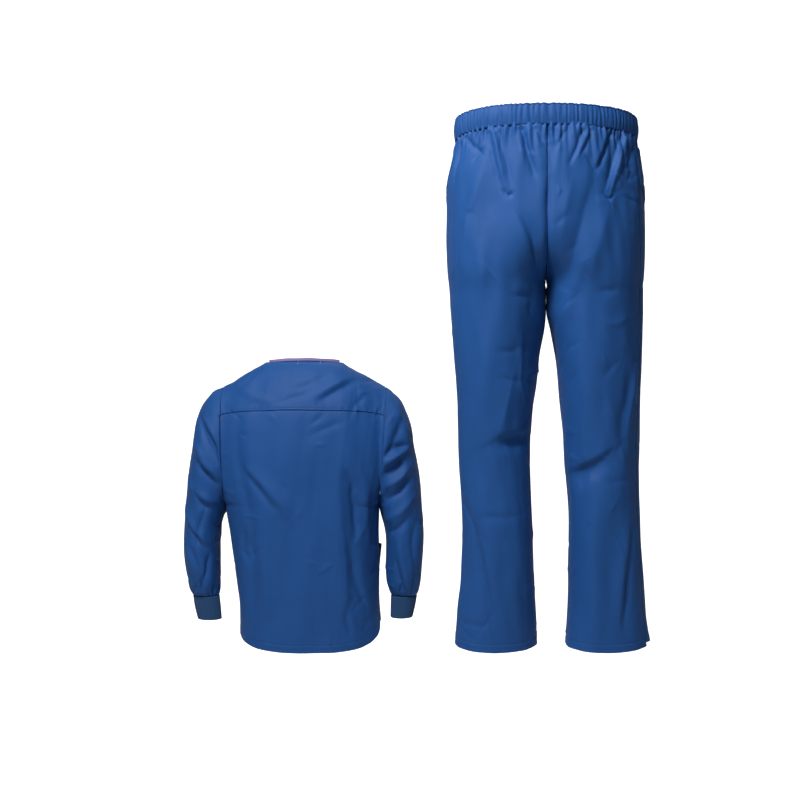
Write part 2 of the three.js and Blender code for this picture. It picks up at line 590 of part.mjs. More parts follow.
function backPanel() {
  const columns = bodyColumns(12, 5);
  const levels = [null, ...armholeAngles.map(armholeLevel), ...belowArmLevels, null];
  const rows = levels.map((level, r) => columns.map((across) => {
    if (r === 0) return bodyPoint(across, -1, yokeSeam(across) - HALF_SEAM);
    const hem = hemLevel(across, -1);
    if (level === null) return foldedBodyPoint(across, -1, hem);
    const side = across < 0 ? SIDE_HEM.left : SIDE_HEM.right;
    const stretch = smooth((HEM_ROWS_START - level) / HEM_ROWS_LENGTH) * HEM_ROWS_SHARE;
    return foldedBodyPoint(across, -1, level + (hem - side) * stretch);
  }));
  seamEdges(rows, columns, -1);
  return clothWall(rows, { guide: bodyGuide(rows, columns, -1, { levelRow: 0 }) });
}

const frontColumns = bodyColumns(12, 5);
const frontLevels = [...armholeAngles.map(armholeLevel), ...belowArmLevels, null];

function frontRows() {
  const chest = armholeLevel(armholeAngles[0]);
  const topRows = [0, 0.14, 0.32, 0.52, 0.76].map((share) => frontColumns.map((across) => {
    const x = SHOULDER_HALF * Math.sin(across * Math.PI / 2);
    const inNeck = Math.abs(across) < NECK_COLUMN - 1e-6;
    const top = inNeck ? -V_NECK_DROP * (1 - Math.abs(x) / NECK_HALF) ** V_NECK_CURVE : topLine(x);
    const p = bodyPoint(across, 1, mix(top, chest, share));
    if (share === 0) p.y += HALF_SEAM;
    return p;
  }));
  const lowRows = frontLevels.map((level) => frontColumns.map((across) => (
    foldedBodyPoint(across, 1, level === null ? hemLevel(across, 1) : level))));
  const rows = forFace([...topRows, ...lowRows], 1);
  seamEdges(rows, frontColumns, 1);
  return rows;
}

function frontPanel() {
  return clothWall(frontRows(), { guide: bodyGuide(frontRows(), frontColumns, 1, { seamAbove: true }) });
}

// A patch pocket is the front's own points, moved out.
function patchPocket(side) {
  const { inner, outer, top, bottom, lift } = pockets[side];
  const rows = frontRows();
  const normals = pointNormals(rows.flat(), rowTriangles(rows, false));
  const width = frontColumns.length;
  const firstRow = rows.length - frontLevels.length;
  const moved = (extra) => {
    const pocketRows = [];
    rows.forEach((row, r) => {
      const level = frontLevels[r - firstRow];
      if (level === null || level === undefined || level > top || level < bottom) return;
      pocketRows.push(row.flatMap((p, i) => {
        const across = frontColumns[width - 1 - i];
        const share = (across - inner) / (outer - inner);
        if (share < -0.01 || share > 1.01) return [];
        const standOff = lift * (1 - (top - level) / (top - bottom)) ** 2 * clamp01(share) ** 2;
        return [p.clone().addScaledVector(normals[r * width + i].clone().normalize(), extra + standOff)];
      }));
    });
    return pocketRows;
  };
  return clothWall(moved(SEAM + WALL), { innerRows: moved(SEAM) });
}

// Round place, in degrees, of a sleeve's column: 0 at the outer line, 90 at the front.
function sleeveRows(side) {
  const table = side === 'right' ? rightSleeve : leftSleeve;
  const sign = side === 'right' ? 1 : -1;
  const lastRow = table.length - 1;
  return table.map((row, r) => Array.from({ length: SLEEVE_COLUMNS }, (_, c) => {
    const turn = (c / SLEEVE_COLUMNS) * 360;
    const round = side === 'right' ? turn : 360 - turn;
    const angle = round * Math.PI / 180;
    const centre = point((row.outerX + row.innerX) / 2, 0, (row.outerZ + row.innerZ) / 2);
    const reach = point((row.outerX - row.innerX) / 2, 0, (row.outerZ - row.innerZ) / 2);
    const p = centre.clone().addScaledVector(reach, Math.cos(angle));
    p.y += row.half * Math.sin(angle);
    const away = p.clone().sub(centre).normalize();
    const gatherFade = smooth((r - lastRow + 3) / 2) * (r === lastRow ? SLEEVE_GATHER_AT_EDGE : 1);
    const gather = c % 2 ? SLEEVE_GATHER_DEPTH * gatherFade : 0;
    let fold = 0;
    for (const f of sleeveFolds[side]) {
      const degrees = ((round - f.round + 540) % 360) - 180;
      const du = degrees * Math.PI / 180 * row.half;
      const dv = (r / lastRow - f.along) * SLEEVE_LENGTH;
      const tilt = f.turn * Math.PI / 180;
      const along = du * Math.cos(tilt) - dv * Math.sin(tilt);
      const across = du * Math.sin(tilt) + dv * Math.cos(tilt);
      fold += f.depth * Math.exp(-((along / f.run) ** 2) - ((across / f.half / 2) ** 2));
    }
    const quiet = smooth(r / 3) * smooth((lastRow - r) / 2);
    p.addScaledVector(away, gather - fold * quiet);
    return point(sign * (p.x + SEAM), p.y, p.z);
  }));
}

function sleeve(side) {
  const rows = sleeveRows(side);
  return clothWall(rows, {
    closed: true,
    guide: (normal, r) => {
      if (r === 0) normal.x = 0;
      if (r === rows.length - 1) normal.z = 0;
    },
  });
}

function cuff(side) {
  const sign = side === 'right' ? 1 : -1;
  const columns = CUFF_RIBS * 2;
  const rowsAt = (inset, rib) => cuffSections[side].map((row) => Array.from({ length: columns }, (_, c) => {
    const angle = (c / columns) * 2 * Math.PI * sign;
    const out = -inset + (c % 2 ? rib : 0);
    const half = (row.outerX - row.innerX) / 2 + out;
    const centre = (row.outerX + row.innerX) / 2;
    return point(sign * (centre + SEAM + half * Math.cos(angle)), (row.half + out) * Math.sin(angle), row.z);
  }));
  return clothWall(rowsAt(0, CUFF_RIB_HEIGHT), { closed: true, innerRows: rowsAt(CUFF_WALL, 0) });
}

// The tape inside the back neck stands a little above the edge that it follows.
function neckTape() {
  const cells = 20;
  const edgePoint = (share) => {
    const x = NECK_HALF * share;
    const edge = BACK_NECK_RISE * (1 - share * share);
    return bodyPoint(acrossAt(x, 0), -1, edge);
  };
  const rows = [1, 0].map((up) => Array.from({ length: cells + 1 }, (_, i) => {
    const share = mix(-TAPE_REACH, TAPE_REACH, i / cells);
    const along = edgePoint(share + STEP).sub(edgePoint(share - STEP));
    const inward = point(-along.y, along.x, 0).normalize();
    const p = edgePoint(share).addScaledVector(inward, TAPE_INSET);
    p.z += TAPE_STAND - TAPE_HEIGHT * (1 - up);
    return p;
  }));
  return clothWall(rows, { wall: TAPE_WALL, guide: (normal) => { normal.z = 0; } });
}

const scrubs = new THREE.Group();

const pants = new THREE.Group();
pants.add(clothMesh('pants_waistband', waistband(), 'cloth'));
for (const side of ['left', 'right']) {
  pants.add(clothMesh(`pants_back_${side}`, legPanel(side, -1), 'cloth'));
  pants.add(clothMesh(`pants_front_${side}`, legPanel(side, 1), 'cloth'));
  pants.add(clothMesh(`pants_hip_pocket_${side}`, hipPocket(side), 'cloth'));
}
scrubs.add(pants);

const top = new THREE.Group();
top.position.copy(TOP_PLACE);
top.add(clothMesh('top_back_yoke', backYoke(), 'cloth'));
top.add(clothMesh('top_back', backPanel(), 'cloth'));
top.add(clothMesh('top_front', frontPanel(), 'cloth'));
top.add(clothMesh('top_neck_tape', neckTape(), 'tape'));
for (const side of ['left', 'right']) {
  top.add(clothMesh(`top_sleeve_${side}`, sleeve(side), 'cloth'));
  top.add(clothMesh(`top_cuff_${side}`, cuff(side), 'rib'));
  top.add(clothMesh(`top_pocket_${side}`, patchPocket(side), 'cloth'));
}
scrubs.add(top);

export default scrubs;
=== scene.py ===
"""Dresses the medical scrubs: a long-sleeved top and elastic-waist pants, open as if worn.

Forms are worked out in millimetres from the same sizes as the fixed frame and turned into
meshes in metres. The backs face -Y, the wearer's right side is at +X, and up is +Z.
"""
import logging
import math
from collections.abc import Callable, Sequence
from dataclasses import dataclass, field
from enum import Enum

import bpy
import numpy as np
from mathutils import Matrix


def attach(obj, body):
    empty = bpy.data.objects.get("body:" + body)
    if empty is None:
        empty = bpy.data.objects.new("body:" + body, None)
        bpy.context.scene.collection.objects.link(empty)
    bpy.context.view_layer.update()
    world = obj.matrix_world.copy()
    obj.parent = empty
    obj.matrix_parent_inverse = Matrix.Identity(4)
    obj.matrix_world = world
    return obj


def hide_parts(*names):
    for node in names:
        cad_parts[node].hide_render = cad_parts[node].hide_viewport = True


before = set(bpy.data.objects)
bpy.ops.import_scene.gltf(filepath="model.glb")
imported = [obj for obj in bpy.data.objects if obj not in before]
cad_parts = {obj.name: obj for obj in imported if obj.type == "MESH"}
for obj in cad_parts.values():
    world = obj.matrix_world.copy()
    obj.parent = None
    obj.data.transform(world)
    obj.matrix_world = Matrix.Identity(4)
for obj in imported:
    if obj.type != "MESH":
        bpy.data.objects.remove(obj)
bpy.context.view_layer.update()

METRE = 0.001
log = logging.getLogger("scrubs")

Array = np.ndarray
Place = tuple[float, float]
Line = tuple[Array, Array]

# Steps of a net beside a seam or a row of sewing, in mm
MARK_STEPS = (-2.6, -1.4, -0.6, 0.0, 0.6, 1.4, 2.6)
MARK_ROOM = 3.4
LEAST_STEP = 0.25

# How thick cloth is shown, in mm
CLOTH_THICKNESS = 0.8
# Sewing, in mm: how far a hem stands out, and a row of stitches lies from a pocket's edge
HEM_LIFT = 0.5
POCKET_MARGIN = 3.0
# How far a seam allowance is turned in, and a panel carried on under the one above, in mm
ALLOWANCE = 2.6
TUCK_HEIGHT, TUCK_DEPTH = 5.0, 1.2


class Part(Enum):
    """One of two halves of a garment, whose name is used in pieces and nodes."""

    @property
    def word(self) -> str:
        """The half's name in small letters."""
        return self.name.lower()


class Face(Part):
    """The back or the front of a garment, by the sign of its y."""

    BACK = -1
    FRONT = 1


class Side(Part):
    """The wearer's left or right, by the sign of its x."""

    LEFT = -1
    RIGHT = 1


class Crest(Enum):
    """How sharp the top of a fold is: the power of its fall to both sides."""

    SOFT = 2.0
    FIRM = 1.5
    SHARP = 1.1


def ease(t: Array) -> Array:
    """A smooth step from 0 to 1 as t goes from 0 to 1."""
    t = np.clip(t, 0.0, 1.0)
    return t * t * (3.0 - 2.0 * t)


def mix(a: Array, b: Array, t: Array) -> Array:
    """The value t of the way from a to b."""
    return a + (b - a) * t


def unit(vectors: Array) -> Array:
    """Vectors of length 1 in the same directions."""
    return vectors / np.maximum(np.linalg.norm(vectors, axis=-1, keepdims=True), 1e-9)


def spaced(length: float, pitch: float, marks: Sequence[float] = ()) -> Array:
    """Places along a length, closer together beside the marks.

    Args:
        length: the whole length in mm.
        pitch: the usual step in mm.
        marks: places, such as seams and rows of sewing, that need a finer net.

    Returns:
        Rising places from 0 to the length.
    """
    places = list(np.linspace(0.0, length, max(2, round(length / pitch) + 1)))
    for mark in marks:
        places = [p for p in places if abs(p - mark) > MARK_ROOM or p in (0.0, length)]
        places += [mark + step for step in MARK_STEPS]
    kept = sorted({round(min(max(p, 0.0), length), 3) for p in places})
    return np.array([kept[0]] + [b for a, b in zip(kept, kept[1:]) if b - a > LEAST_STEP])


def wrapped(angle: Array) -> Array:
    """The same angle, within half a turn of 0."""
    return (angle + math.pi) % (2 * math.pi) - math.pi


def ridge(distance: Array, reach: Array, power: float = 2.0) -> Array:
    """1 at no distance, falling to nothing beyond the reach."""
    return np.exp(-(distance / reach) ** power)


class LevelTable:
    """Columns of sizes at falling levels, eased between the levels."""

    def __init__(self, names: str, rows: Sequence[Sequence[float]]) -> None:
        """Takes the names of the columns after the level, and a row for each level."""
        data = np.array(rows, dtype=float)
        self.levels = data[:, 0]
        self.columns = {name: data[:, i + 1] for i, name in enumerate(names.split())}

    def at(self, level: Array, name: str) -> Array:
        """The named column's value at each level."""
        level = np.asarray(level, dtype=float)
        levels, values = self.levels, self.columns[name]
        last = len(levels) - 1
        low = np.clip(np.searchsorted(-levels, -level, side="left"), 1, last)
        before, after = np.maximum(low - 2, 0), np.minimum(low + 1, last)
        high = low - 1
        span = levels[high] - levels[low]
        t = np.clip((levels[high] - level) / span, 0.0, 1.0)
        slope_high = (values[low] - values[before]) / np.maximum(levels[before] - levels[low], 1) * span
        slope_low = (values[after] - values[high]) / np.maximum(levels[high] - levels[after], 1) * span
        t2, t3 = t * t, t * t * t
        return ((2 * t3 - 3 * t2 + 1) * values[high] + (t3 - 2 * t2 + t) * slope_high
                + (3 * t2 - 2 * t3) * values[low] + (t3 - t2) * slope_low)


class Net:
    """A net of cloth points in mm: rows run down and columns anticlockwise, seen from above."""

    def __init__(self, points: Array, closed: bool = False) -> None:
        """Takes points[row, column] and whether the last column meets the first."""
        self.points = points
        self.closed = closed
        self.down = self._lengths(0)
        self.over = self._lengths(1)
        self.outs = self.normals()

    def _lengths(self, axis: int) -> Array:
        """Length along the net's rows or columns from its first edge, at each point."""
        steps = np.linalg.norm(np.diff(self.points, axis=axis), axis=-1)
        pad = [(0, 0), (0, 0)]
        pad[axis] = (1, 0)
        return np.cumsum(np.pad(steps, pad), axis=axis)

    def normals(self) -> Array:
        """The way out of the cloth at each point."""
        p = self.points
        if self.closed:
            over = np.roll(p, -1, axis=1) - np.roll(p, 1, axis=1)
        else:
            over = np.gradient(p, axis=1)
        return unit(np.cross(np.gradient(p, axis=0), over))

    def push(self, amount: Array) -> "Net":
        """The same net with each point moved out by an amount in mm.

        Lengths and the way out stay as they were cut, so that both sides of a seam move together.
        """
        moved = Net(self.points + self.outs * amount[..., None], self.closed)
        moved.down, moved.over, moved.outs = self.down, self.over, self.outs
        return moved

    def from_bottom(self) -> Array:
        """Distance of each point from the lower edge."""
        return self.down[-1] - self.down

    def to_sides(self) -> Array:
        """Distance of each point from the nearer side edge."""
        return np.minimum(self.over, self.over[:, -1:] - self.over)

    def row_line(self, distance: float) -> tuple[Array, Array]:
        """A line across the net at a distance down from its upper edge, or up if negative.

        Returns:
            The line's points and the way out at each of them.
        """
        normals = self.normals()
        reach = self.down if distance >= 0 else self.from_bottom()[::-1]
        points = self.points if distance >= 0 else self.points[::-1]
        outs = normals if distance >= 0 else normals[::-1]
        return self._cut(points, outs, reach, abs(distance))

    def column_line(self, distance: float) -> tuple[Array, Array]:
        """A line down the net at a distance from its first side, or from the last if negative.

        Returns:
            The line's points and the way out at each of them.
        """
        normals = self.normals()
        flip = slice(None) if distance >= 0 else slice(None, None, -1)
        reach = self.over if distance >= 0 else self.over[:, -1:] - self.over
        return self._cut(self.points[:, flip].swapaxes(0, 1), normals[:, flip].swapaxes(0, 1),
                         reach[:, flip].T, abs(distance))

    @staticmethod
    def _cut(points: Array, outs: Array, reach: Array, distance: float) -> tuple[Array, Array]:
        """Points and normals where each column reaches a distance."""
        line, ways = [], []
        for c in range(points.shape[1]):
            line.append([np.interp(distance, reach[:, c], points[:, c, k]) for k in range(3)])
            ways.append([np.interp(distance, reach[:, c], outs[:, c, k]) for k in range(3)])
        return np.array(line), unit(np.array(ways))

    def turned_in(self, depth: float, edges: str) -> "Net":
        """The net with its named edges turned in, as a seam allowance is.

        Args:
            depth: how far the edge goes in, in mm.
            edges: any of the letters t, b, l and r.

        Returns:
            A larger net.
        """
        points, normals, down, over = self.points, self.outs, self.down, self.over
        for letter, axis, index in (("t", 0, 0), ("b", 0, -1), ("l", 1, 0), ("r", 1, -1)):
            if letter not in edges:
                continue
            edge = np.take(points, [index], axis=axis) - depth * np.take(normals, [index], axis=axis)
            parts = [(points, edge)]
            parts += [(values, np.take(values, [index], axis=axis)) for values in (normals, down, over)]
            joined = [np.concatenate((e, a) if index == 0 else (a, e), axis=axis) for a, e in parts]
            points, normals, down, over = joined
        grown = Net(points, self.closed)
        grown.down, grown.over, grown.outs = down, over, normals
        return grown

    def tucked_up(self, height: float, depth: float) -> "Net":
        """The net with its upper edge carried on under what is sewn over it."""
        edge = self.points[:1] - depth * self.outs[:1]
        edge[..., 2] += height
        grown = Net(np.concatenate([edge, self.points]), self.closed)
        grown.down = np.concatenate([self.down[:1] - height, self.down])
        grown.over = np.concatenate([self.over[:1], self.over])
        grown.outs = np.concatenate([self.outs[:1], self.outs])
        return grown


@dataclass(frozen=True)
class Fold:
    """A ridge, or a trough if its height is negative, along a line on the back or front.

    The line is seen from behind, in x and z. left and right are its reach to either side in mm,
    for a line that runs down the cloth. full_start keeps its height where it begins.
    """

    line: tuple[Place, ...]
    height: float
    left: float
    right: float
    crest: Crest = Crest.SOFT
    face: Face = Face.BACK
    full_start: bool = False
    widening: float = 1.0


class Drape:
    """The folds of one part of a garment, and the slow unevenness of its cloth."""

    def __init__(self, base: Sequence[Net], folds: Sequence[Fold], seed: int, unevenness: float,
                 creases: int = 0, strength: float = 1.5) -> None:
        """Lays the folds' lines on the nets before they are folded.

        Args:
            base: the nets that the folds lie on.
            folds: the folds that were placed by hand.
            seed: fixes the waves and the small creases.
            unevenness: height of the slow waves, in mm.
            creases: number of small creases left by storing and wearing.
            strength: how much higher the folds stand than in the tables.
        """
        self.strength = strength
        self.cloud = np.concatenate([net.points.reshape(-1, 3) for net in base])
        self.outs = np.concatenate([net.normals().reshape(-1, 3) for net in base])
        self.lines = [(fold, self._laid(fold)) for fold in [*folds, *self._creases(seed, creases)]]
        self.waves = self._waves(seed, unevenness)

    def _creases(self, seed: int, count: int) -> list[Fold]:
        """Small shallow creases at random places, the same in each run."""
        random = np.random.default_rng(seed + 100)
        creases = []
        for middle in random.choice(len(self.cloud), count):
            x, _, z = self.cloud[middle]
            turn, reach = random.uniform(0, math.pi), random.uniform(9, 30)
            dx, dz = reach * math.cos(turn), reach * math.sin(turn)
            bow = random.uniform(-5, 5)
            bend = (x + bow * math.sin(turn), z - bow * math.cos(turn))
            height = random.uniform(0.6, 1.5) * random.choice((-1, 1))
            steep, slow = random.uniform(1.8, 3), random.uniform(4, 9)
            face = Face.BACK if self.outs[middle, 1] < 0 else Face.FRONT
            line = ((x - dx, z - dz), bend, (x + dx, z + dz))
            creases.append(Fold(line, height, steep, slow, Crest.SHARP, face))
        return creases

    def _laid(self, fold: Fold) -> Array:
        """The fold's line in space, on the cloth."""
        step = 14.0
        line: list[Array] = []
        for start, end in zip(fold.line, fold.line[1:]):
            count = max(1, round(math.dist(start, end) / step))
            line += [mix(np.array(start), np.array(end), i / count) for i in range(count)]
        line.append(np.array(fold.line[-1]))
        facing = self.outs[:, 1] * fold.face.value > 0.05
        cloud = self.cloud[facing]
        gaps = ((cloud[:, 0] - x) ** 2 + (cloud[:, 2] - z) ** 2 for x, z in line)
        return np.array([cloud[np.argmin(gap)] for gap in gaps])

    @staticmethod
    def _waves(seed: int, unevenness: float) -> list[tuple[Array, float, float]]:
        """Slow waves over the cloth, longer up and down than across."""
        random = np.random.default_rng(seed)
        waves = []
        for scale, height in ((1.0, 0.55), (2.2, 0.24), (4.6, 0.09)):
            for _ in range(7):
                turn = random.uniform(0, 2 * math.pi)
                steep = random.uniform(-0.32, 0.32)
                reach = random.uniform(70, 150) / scale
                way = np.array([math.cos(turn), math.sin(turn), steep]) * 2 * math.pi / reach
                waves.append((way, random.uniform(0, 2 * math.pi), height * unevenness))
        return waves

    def rise(self, net: Net) -> Array:
        """How far folds and unevenness move each point of a net, in mm."""
        points = net.points.reshape(-1, 3)
        outs = net.normals().reshape(-1, 3)
        total = np.zeros(len(points))
        for way, phase, height in self.waves:
            total += height * np.sin(points @ way + phase)
        for fold, line in self.lines:
            reach = 3.2 * max(fold.left, fold.right) * max(1.0, fold.widening)
            low, high = line.min(axis=0) - reach, line.max(axis=0) + reach
            near = np.all((points > low) & (points < high), axis=1)
            if near.any():
                total[near] += self._one(fold, line, points[near], outs[near])
        return total.reshape(net.points.shape[:2])

    def _one(self, fold: Fold, line: Array, points: Array, outs: Array) -> Array:
        """The height of one fold at each point."""
        lengths = np.linalg.norm(np.diff(line, axis=0), axis=1)
        total = lengths.sum()
        best = np.full(len(points), 1e9)
        along, side = np.zeros(len(points)), np.ones(len(points))
        start = 0.0
        for a, b, length in zip(line, line[1:], lengths):
            if length < 1e-6:
                continue
            way = (b - a) / length
            share = np.clip((points - a) @ way, 0.0, length)
            gap = points - a - share[:, None] * way
            distance = np.linalg.norm(gap, axis=1)
            nearer = distance < best
            best[nearer] = distance[nearer]
            along[nearer] = (start + share[nearer]) / total
            cross = np.einsum("ij,ij->i", gap, np.cross(way, outs))
            side[nearer] = np.sign(cross[nearer])
            start += length
        reach = np.where(side > 0, fold.left, fold.right) * mix(1.0, fold.widening, along)
        taper = np.sin(math.pi * np.clip(0.06 + 0.88 * along, 0, 1)) ** 0.8
        if fold.full_start:
            taper = np.where(along < 0.5, 1.0, taper)
        shape = ridge(best, np.maximum(reach, 0.1), fold.crest.value)
        return self.strength * fold.height * taper * shape


def seam_dip(distance: Array, depth: float = 1.1, reach: float = 1.5) -> Array:
    """The groove that a seam draws in the cloth on both sides of it."""
    return -depth * ridge(distance, reach) - 0.25 * depth * ridge(distance, 4 * reach)


def facing_out(net: Net) -> Array:
    """1 where the cloth faces the back, the front or up, 0 where it faces a side or down.

    Seams are drawn in by this share, so that both sides of an armhole stay together.
    """
    return np.hypot(net.outs[..., 1], np.maximum(net.outs[..., 2], 0.0))


def sewn_groove(distance: Array, depth: float = 0.45, reach: float = 0.9) -> Array:
    """The shallow groove under a row of stitches."""
    return -depth * ridge(distance, reach)


def turned_hem(net: Net, fold: float) -> Array:
    """How far a turned-up hem stands out, with the groove of its stitches."""
    below = net.from_bottom()
    return np.where(below < fold, HEM_LIFT, 0.0) + sewn_groove(below - fold)


def pocket_lines(net: Net, hem: float) -> list[Line]:
    """The rows of stitches on a pocket: across its hem, and beside its other edges."""
    return [net.row_line(hem), net.row_line(-POCKET_MARGIN),
            net.column_line(POCKET_MARGIN), net.column_line(-POCKET_MARGIN)]


def pocket_grooves(net: Net, hem: float) -> Array:
    """The grooves under a pocket's rows of stitches."""
    return (sewn_groove(net.to_sides() - POCKET_MARGIN)
            + sewn_groove(net.from_bottom() - POCKET_MARGIN) + sewn_groove(net.down - hem))


# Node groups shared by the finishes


def new_group(name: str, inputs: dict[str, float], output: str) -> bpy.types.NodeTree:
    """An empty shader node group with its sockets, all of them numbers.

    Args:
        name: the group's name.
        inputs: names and usual values of its inputs.
        output: the name of its output.

    Returns:
        The group, with one input and one output node.
    """
    group = bpy.data.node_groups.new(name, "ShaderNodeTree")
    kind = "NodeSocketFloat"
    for label, value in inputs.items():
        socket = group.interface.new_socket(name=label, in_out="INPUT", socket_type=kind)
        socket.default_value = value
    group.interface.new_socket(name=output, in_out="OUTPUT", socket_type=kind)
    group.nodes.new("NodeGroupInput")
    group.nodes.new("NodeGroupOutput")
    return group


class Wiring:
    """Short calls that add nodes to a tree and join them."""

    def __init__(self, tree: bpy.types.NodeTree) -> None:
        """Works in one node tree."""
        self.tree = tree

    def node(self, kind: str, **settings: object) -> bpy.types.Node:
        """A new node with its settings."""
        made = self.tree.nodes.new(kind)
        for key, value in settings.items():
            setattr(made, key, value)
        return made

    def join(self, source: bpy.types.NodeSocket, target: bpy.types.NodeSocket) -> None:
        """A link from one socket to another."""
        self.tree.links.new(source, target)

    def math(self, operation: str, *values: object) -> bpy.types.NodeSocket:
        """A sum of sockets or numbers.

        Args:
            operation: Blender's name for it, such as MULTIPLY.
            values: numbers or sockets, in order.

        Returns:
            The socket that holds the result.
        """
        made = self.node("ShaderNodeMath", operation=operation)
        for socket, value in zip(made.inputs, values):
            if isinstance(value, (int, float)):
                socket.default_value = value
            else:
                self.join(value, socket)
        return made.outputs[0]


def weave_group() -> bpy.types.NodeTree:
    """A woven or knitted height over the cloth's own lengths: warp over weft in turn."""
    group = new_group("weave", {"Warp pitch": 0.0005, "Weft pitch": 0.0005}, "Height")
    wiring = Wiring(group)
    entry, leave = group.nodes["Group Input"], group.nodes["Group Output"]
    lengths = wiring.node("ShaderNodeSeparateXYZ")
    wiring.join(wiring.node("ShaderNodeTexCoord").outputs["UV"], lengths.inputs[0])
    counts = (wiring.math("DIVIDE", lengths.outputs[axis], entry.outputs[pitch])
              for axis, pitch in (("X", "Warp pitch"), ("Y", "Weft pitch")))
    warp, weft = (wiring.math("MULTIPLY", count, math.pi) for count in counts)
    threads = wiring.math("ADD", wiring.math("ABSOLUTE", wiring.math("SINE", warp)),
                          wiring.math("ABSOLUTE", wiring.math("SINE", weft)))
    over_under = wiring.math("MULTIPLY", wiring.math("COSINE", warp), wiring.math("COSINE", weft))
    height = wiring.math("ADD", wiring.math("MULTIPLY", threads, 0.35),
                         wiring.math("MULTIPLY", over_under, 0.3))
    wiring.join(height, leave.inputs["Height"])
    return group


def dye_group() -> bpy.types.NodeTree:
    """Uneven dye: slow clouds and fine slubs of the yarn, as a mask around one half."""
    group = new_group("uneven_dye", {"Cloud size": 0.08, "Slub size": 0.0022}, "Mask")
    wiring = Wiring(group)
    entry, leave = group.nodes["Group Input"], group.nodes["Group Output"]
    place = wiring.node("ShaderNodeTexCoord").outputs["Object"]
    clouds = wiring.node("ShaderNodeTexNoise")
    slubs = wiring.node("ShaderNodeTexNoise")
    for texture, label, detail in ((clouds, "Cloud size", 3.0), (slubs, "Slub size", 1.0)):
        texture.inputs["Detail"].default_value = detail
        wiring.join(place, texture.inputs["Vector"])
        wiring.join(wiring.math("DIVIDE", 1.0, entry.outputs[label]), texture.inputs["Scale"])
    mask = wiring.math("ADD", wiring.math("MULTIPLY", clouds.outputs["Fac"], 0.6),
                       wiring.math("MULTIPLY", slubs.outputs["Fac"], 0.4))
    wiring.join(mask, leave.inputs["Mask"])
    return group


@dataclass(frozen=True)
class Finish:
    """A cloth's finish. Colours are linear; pitches and sizes are in metres."""

    name: str
    slot: str
    colour: tuple[float, float, float]
    shade: float
    roughness: float
    sheen: float
    warp: float
    weft: float
    relief: float
    cloud: float = 0.09
    slub: float = 0.002
    specular: float = 0.22
    sheen_roughness: float = 0.45
    sheen_tint: tuple[float, float, float] = (0.45, 0.62, 1.0)
    bump: float = 0.5

    def material(self, weave: bpy.types.NodeTree, dye: bpy.types.NodeTree) -> bpy.types.Material:
        """Makes the material.

        Args:
            weave: the shared group that gives the threads' height.
            dye: the shared group that gives the mask of uneven dye.

        Returns:
            A material whose shader is its own.
        """
        material = bpy.data.materials.new(self.name)
        material.use_nodes = True
        wiring = Wiring(material.node_tree)
        shader = material.node_tree.nodes["Principled BSDF"]
        threads = wiring.node("ShaderNodeGroup", node_tree=weave)
        clouds = wiring.node("ShaderNodeGroup", node_tree=dye)
        colour = wiring.node("ShaderNodeMix", data_type="RGBA")
        deep = tuple(c * self.shade for c in self.colour)
        pale = tuple(min(1.0, c * (2.0 - self.shade)) for c in self.colour)
        bump = wiring.node("ShaderNodeBump")
        for node, label, value in (
                (shader, "Roughness", self.roughness),
                (shader, "Specular IOR Level", self.specular),
                (shader, "Sheen Weight", self.sheen),
                (shader, "Sheen Roughness", self.sheen_roughness),
                (shader, "Sheen Tint", (*self.sheen_tint, 1.0)),
                (threads, "Warp pitch", self.warp), (threads, "Weft pitch", self.weft),
                (clouds, "Cloud size", self.cloud), (clouds, "Slub size", self.slub),
                (colour, "A", (*deep, 1.0)), (colour, "B", (*pale, 1.0)),
                (bump, "Strength", self.bump), (bump, "Distance", self.relief)):
            node.inputs[label].default_value = value
        wiring.join(clouds.outputs["Mask"], colour.inputs["Factor"])
        wiring.join(colour.outputs["Result"], shader.inputs["Base Color"])
        wiring.join(threads.outputs["Height"], bump.inputs["Height"])
        wiring.join(bump.outputs["Normal"], shader.inputs["Normal"])
        return material


CLOTH = Finish("blue_cloth", "cloth", (0.0095, 0.068, 0.245), 0.86, 0.6, 0.04, 0.0006, 0.0007, 0.00022)
RIB = Finish("rib_knit", "rib", (0.018, 0.060, 0.15), 0.84, 0.85, 0.12, 0.0011, 0.0013, 0.0005)
TAPE = Finish("lilac_tape", "tape", (0.27, 0.20, 0.40), 0.85, 0.8, 0.15, 0.0008, 0.0016, 0.0003)
THREAD = Finish("blue_thread", "cloth", (0.013, 0.055, 0.21), 0.9, 0.5, 0.1, 0.0003, 0.0009, 0.0001)
TACK = Finish("pale_thread", "tape", (0.50, 0.56, 0.30), 0.9, 0.5, 0.1, 0.0003, 0.0009, 0.0001)


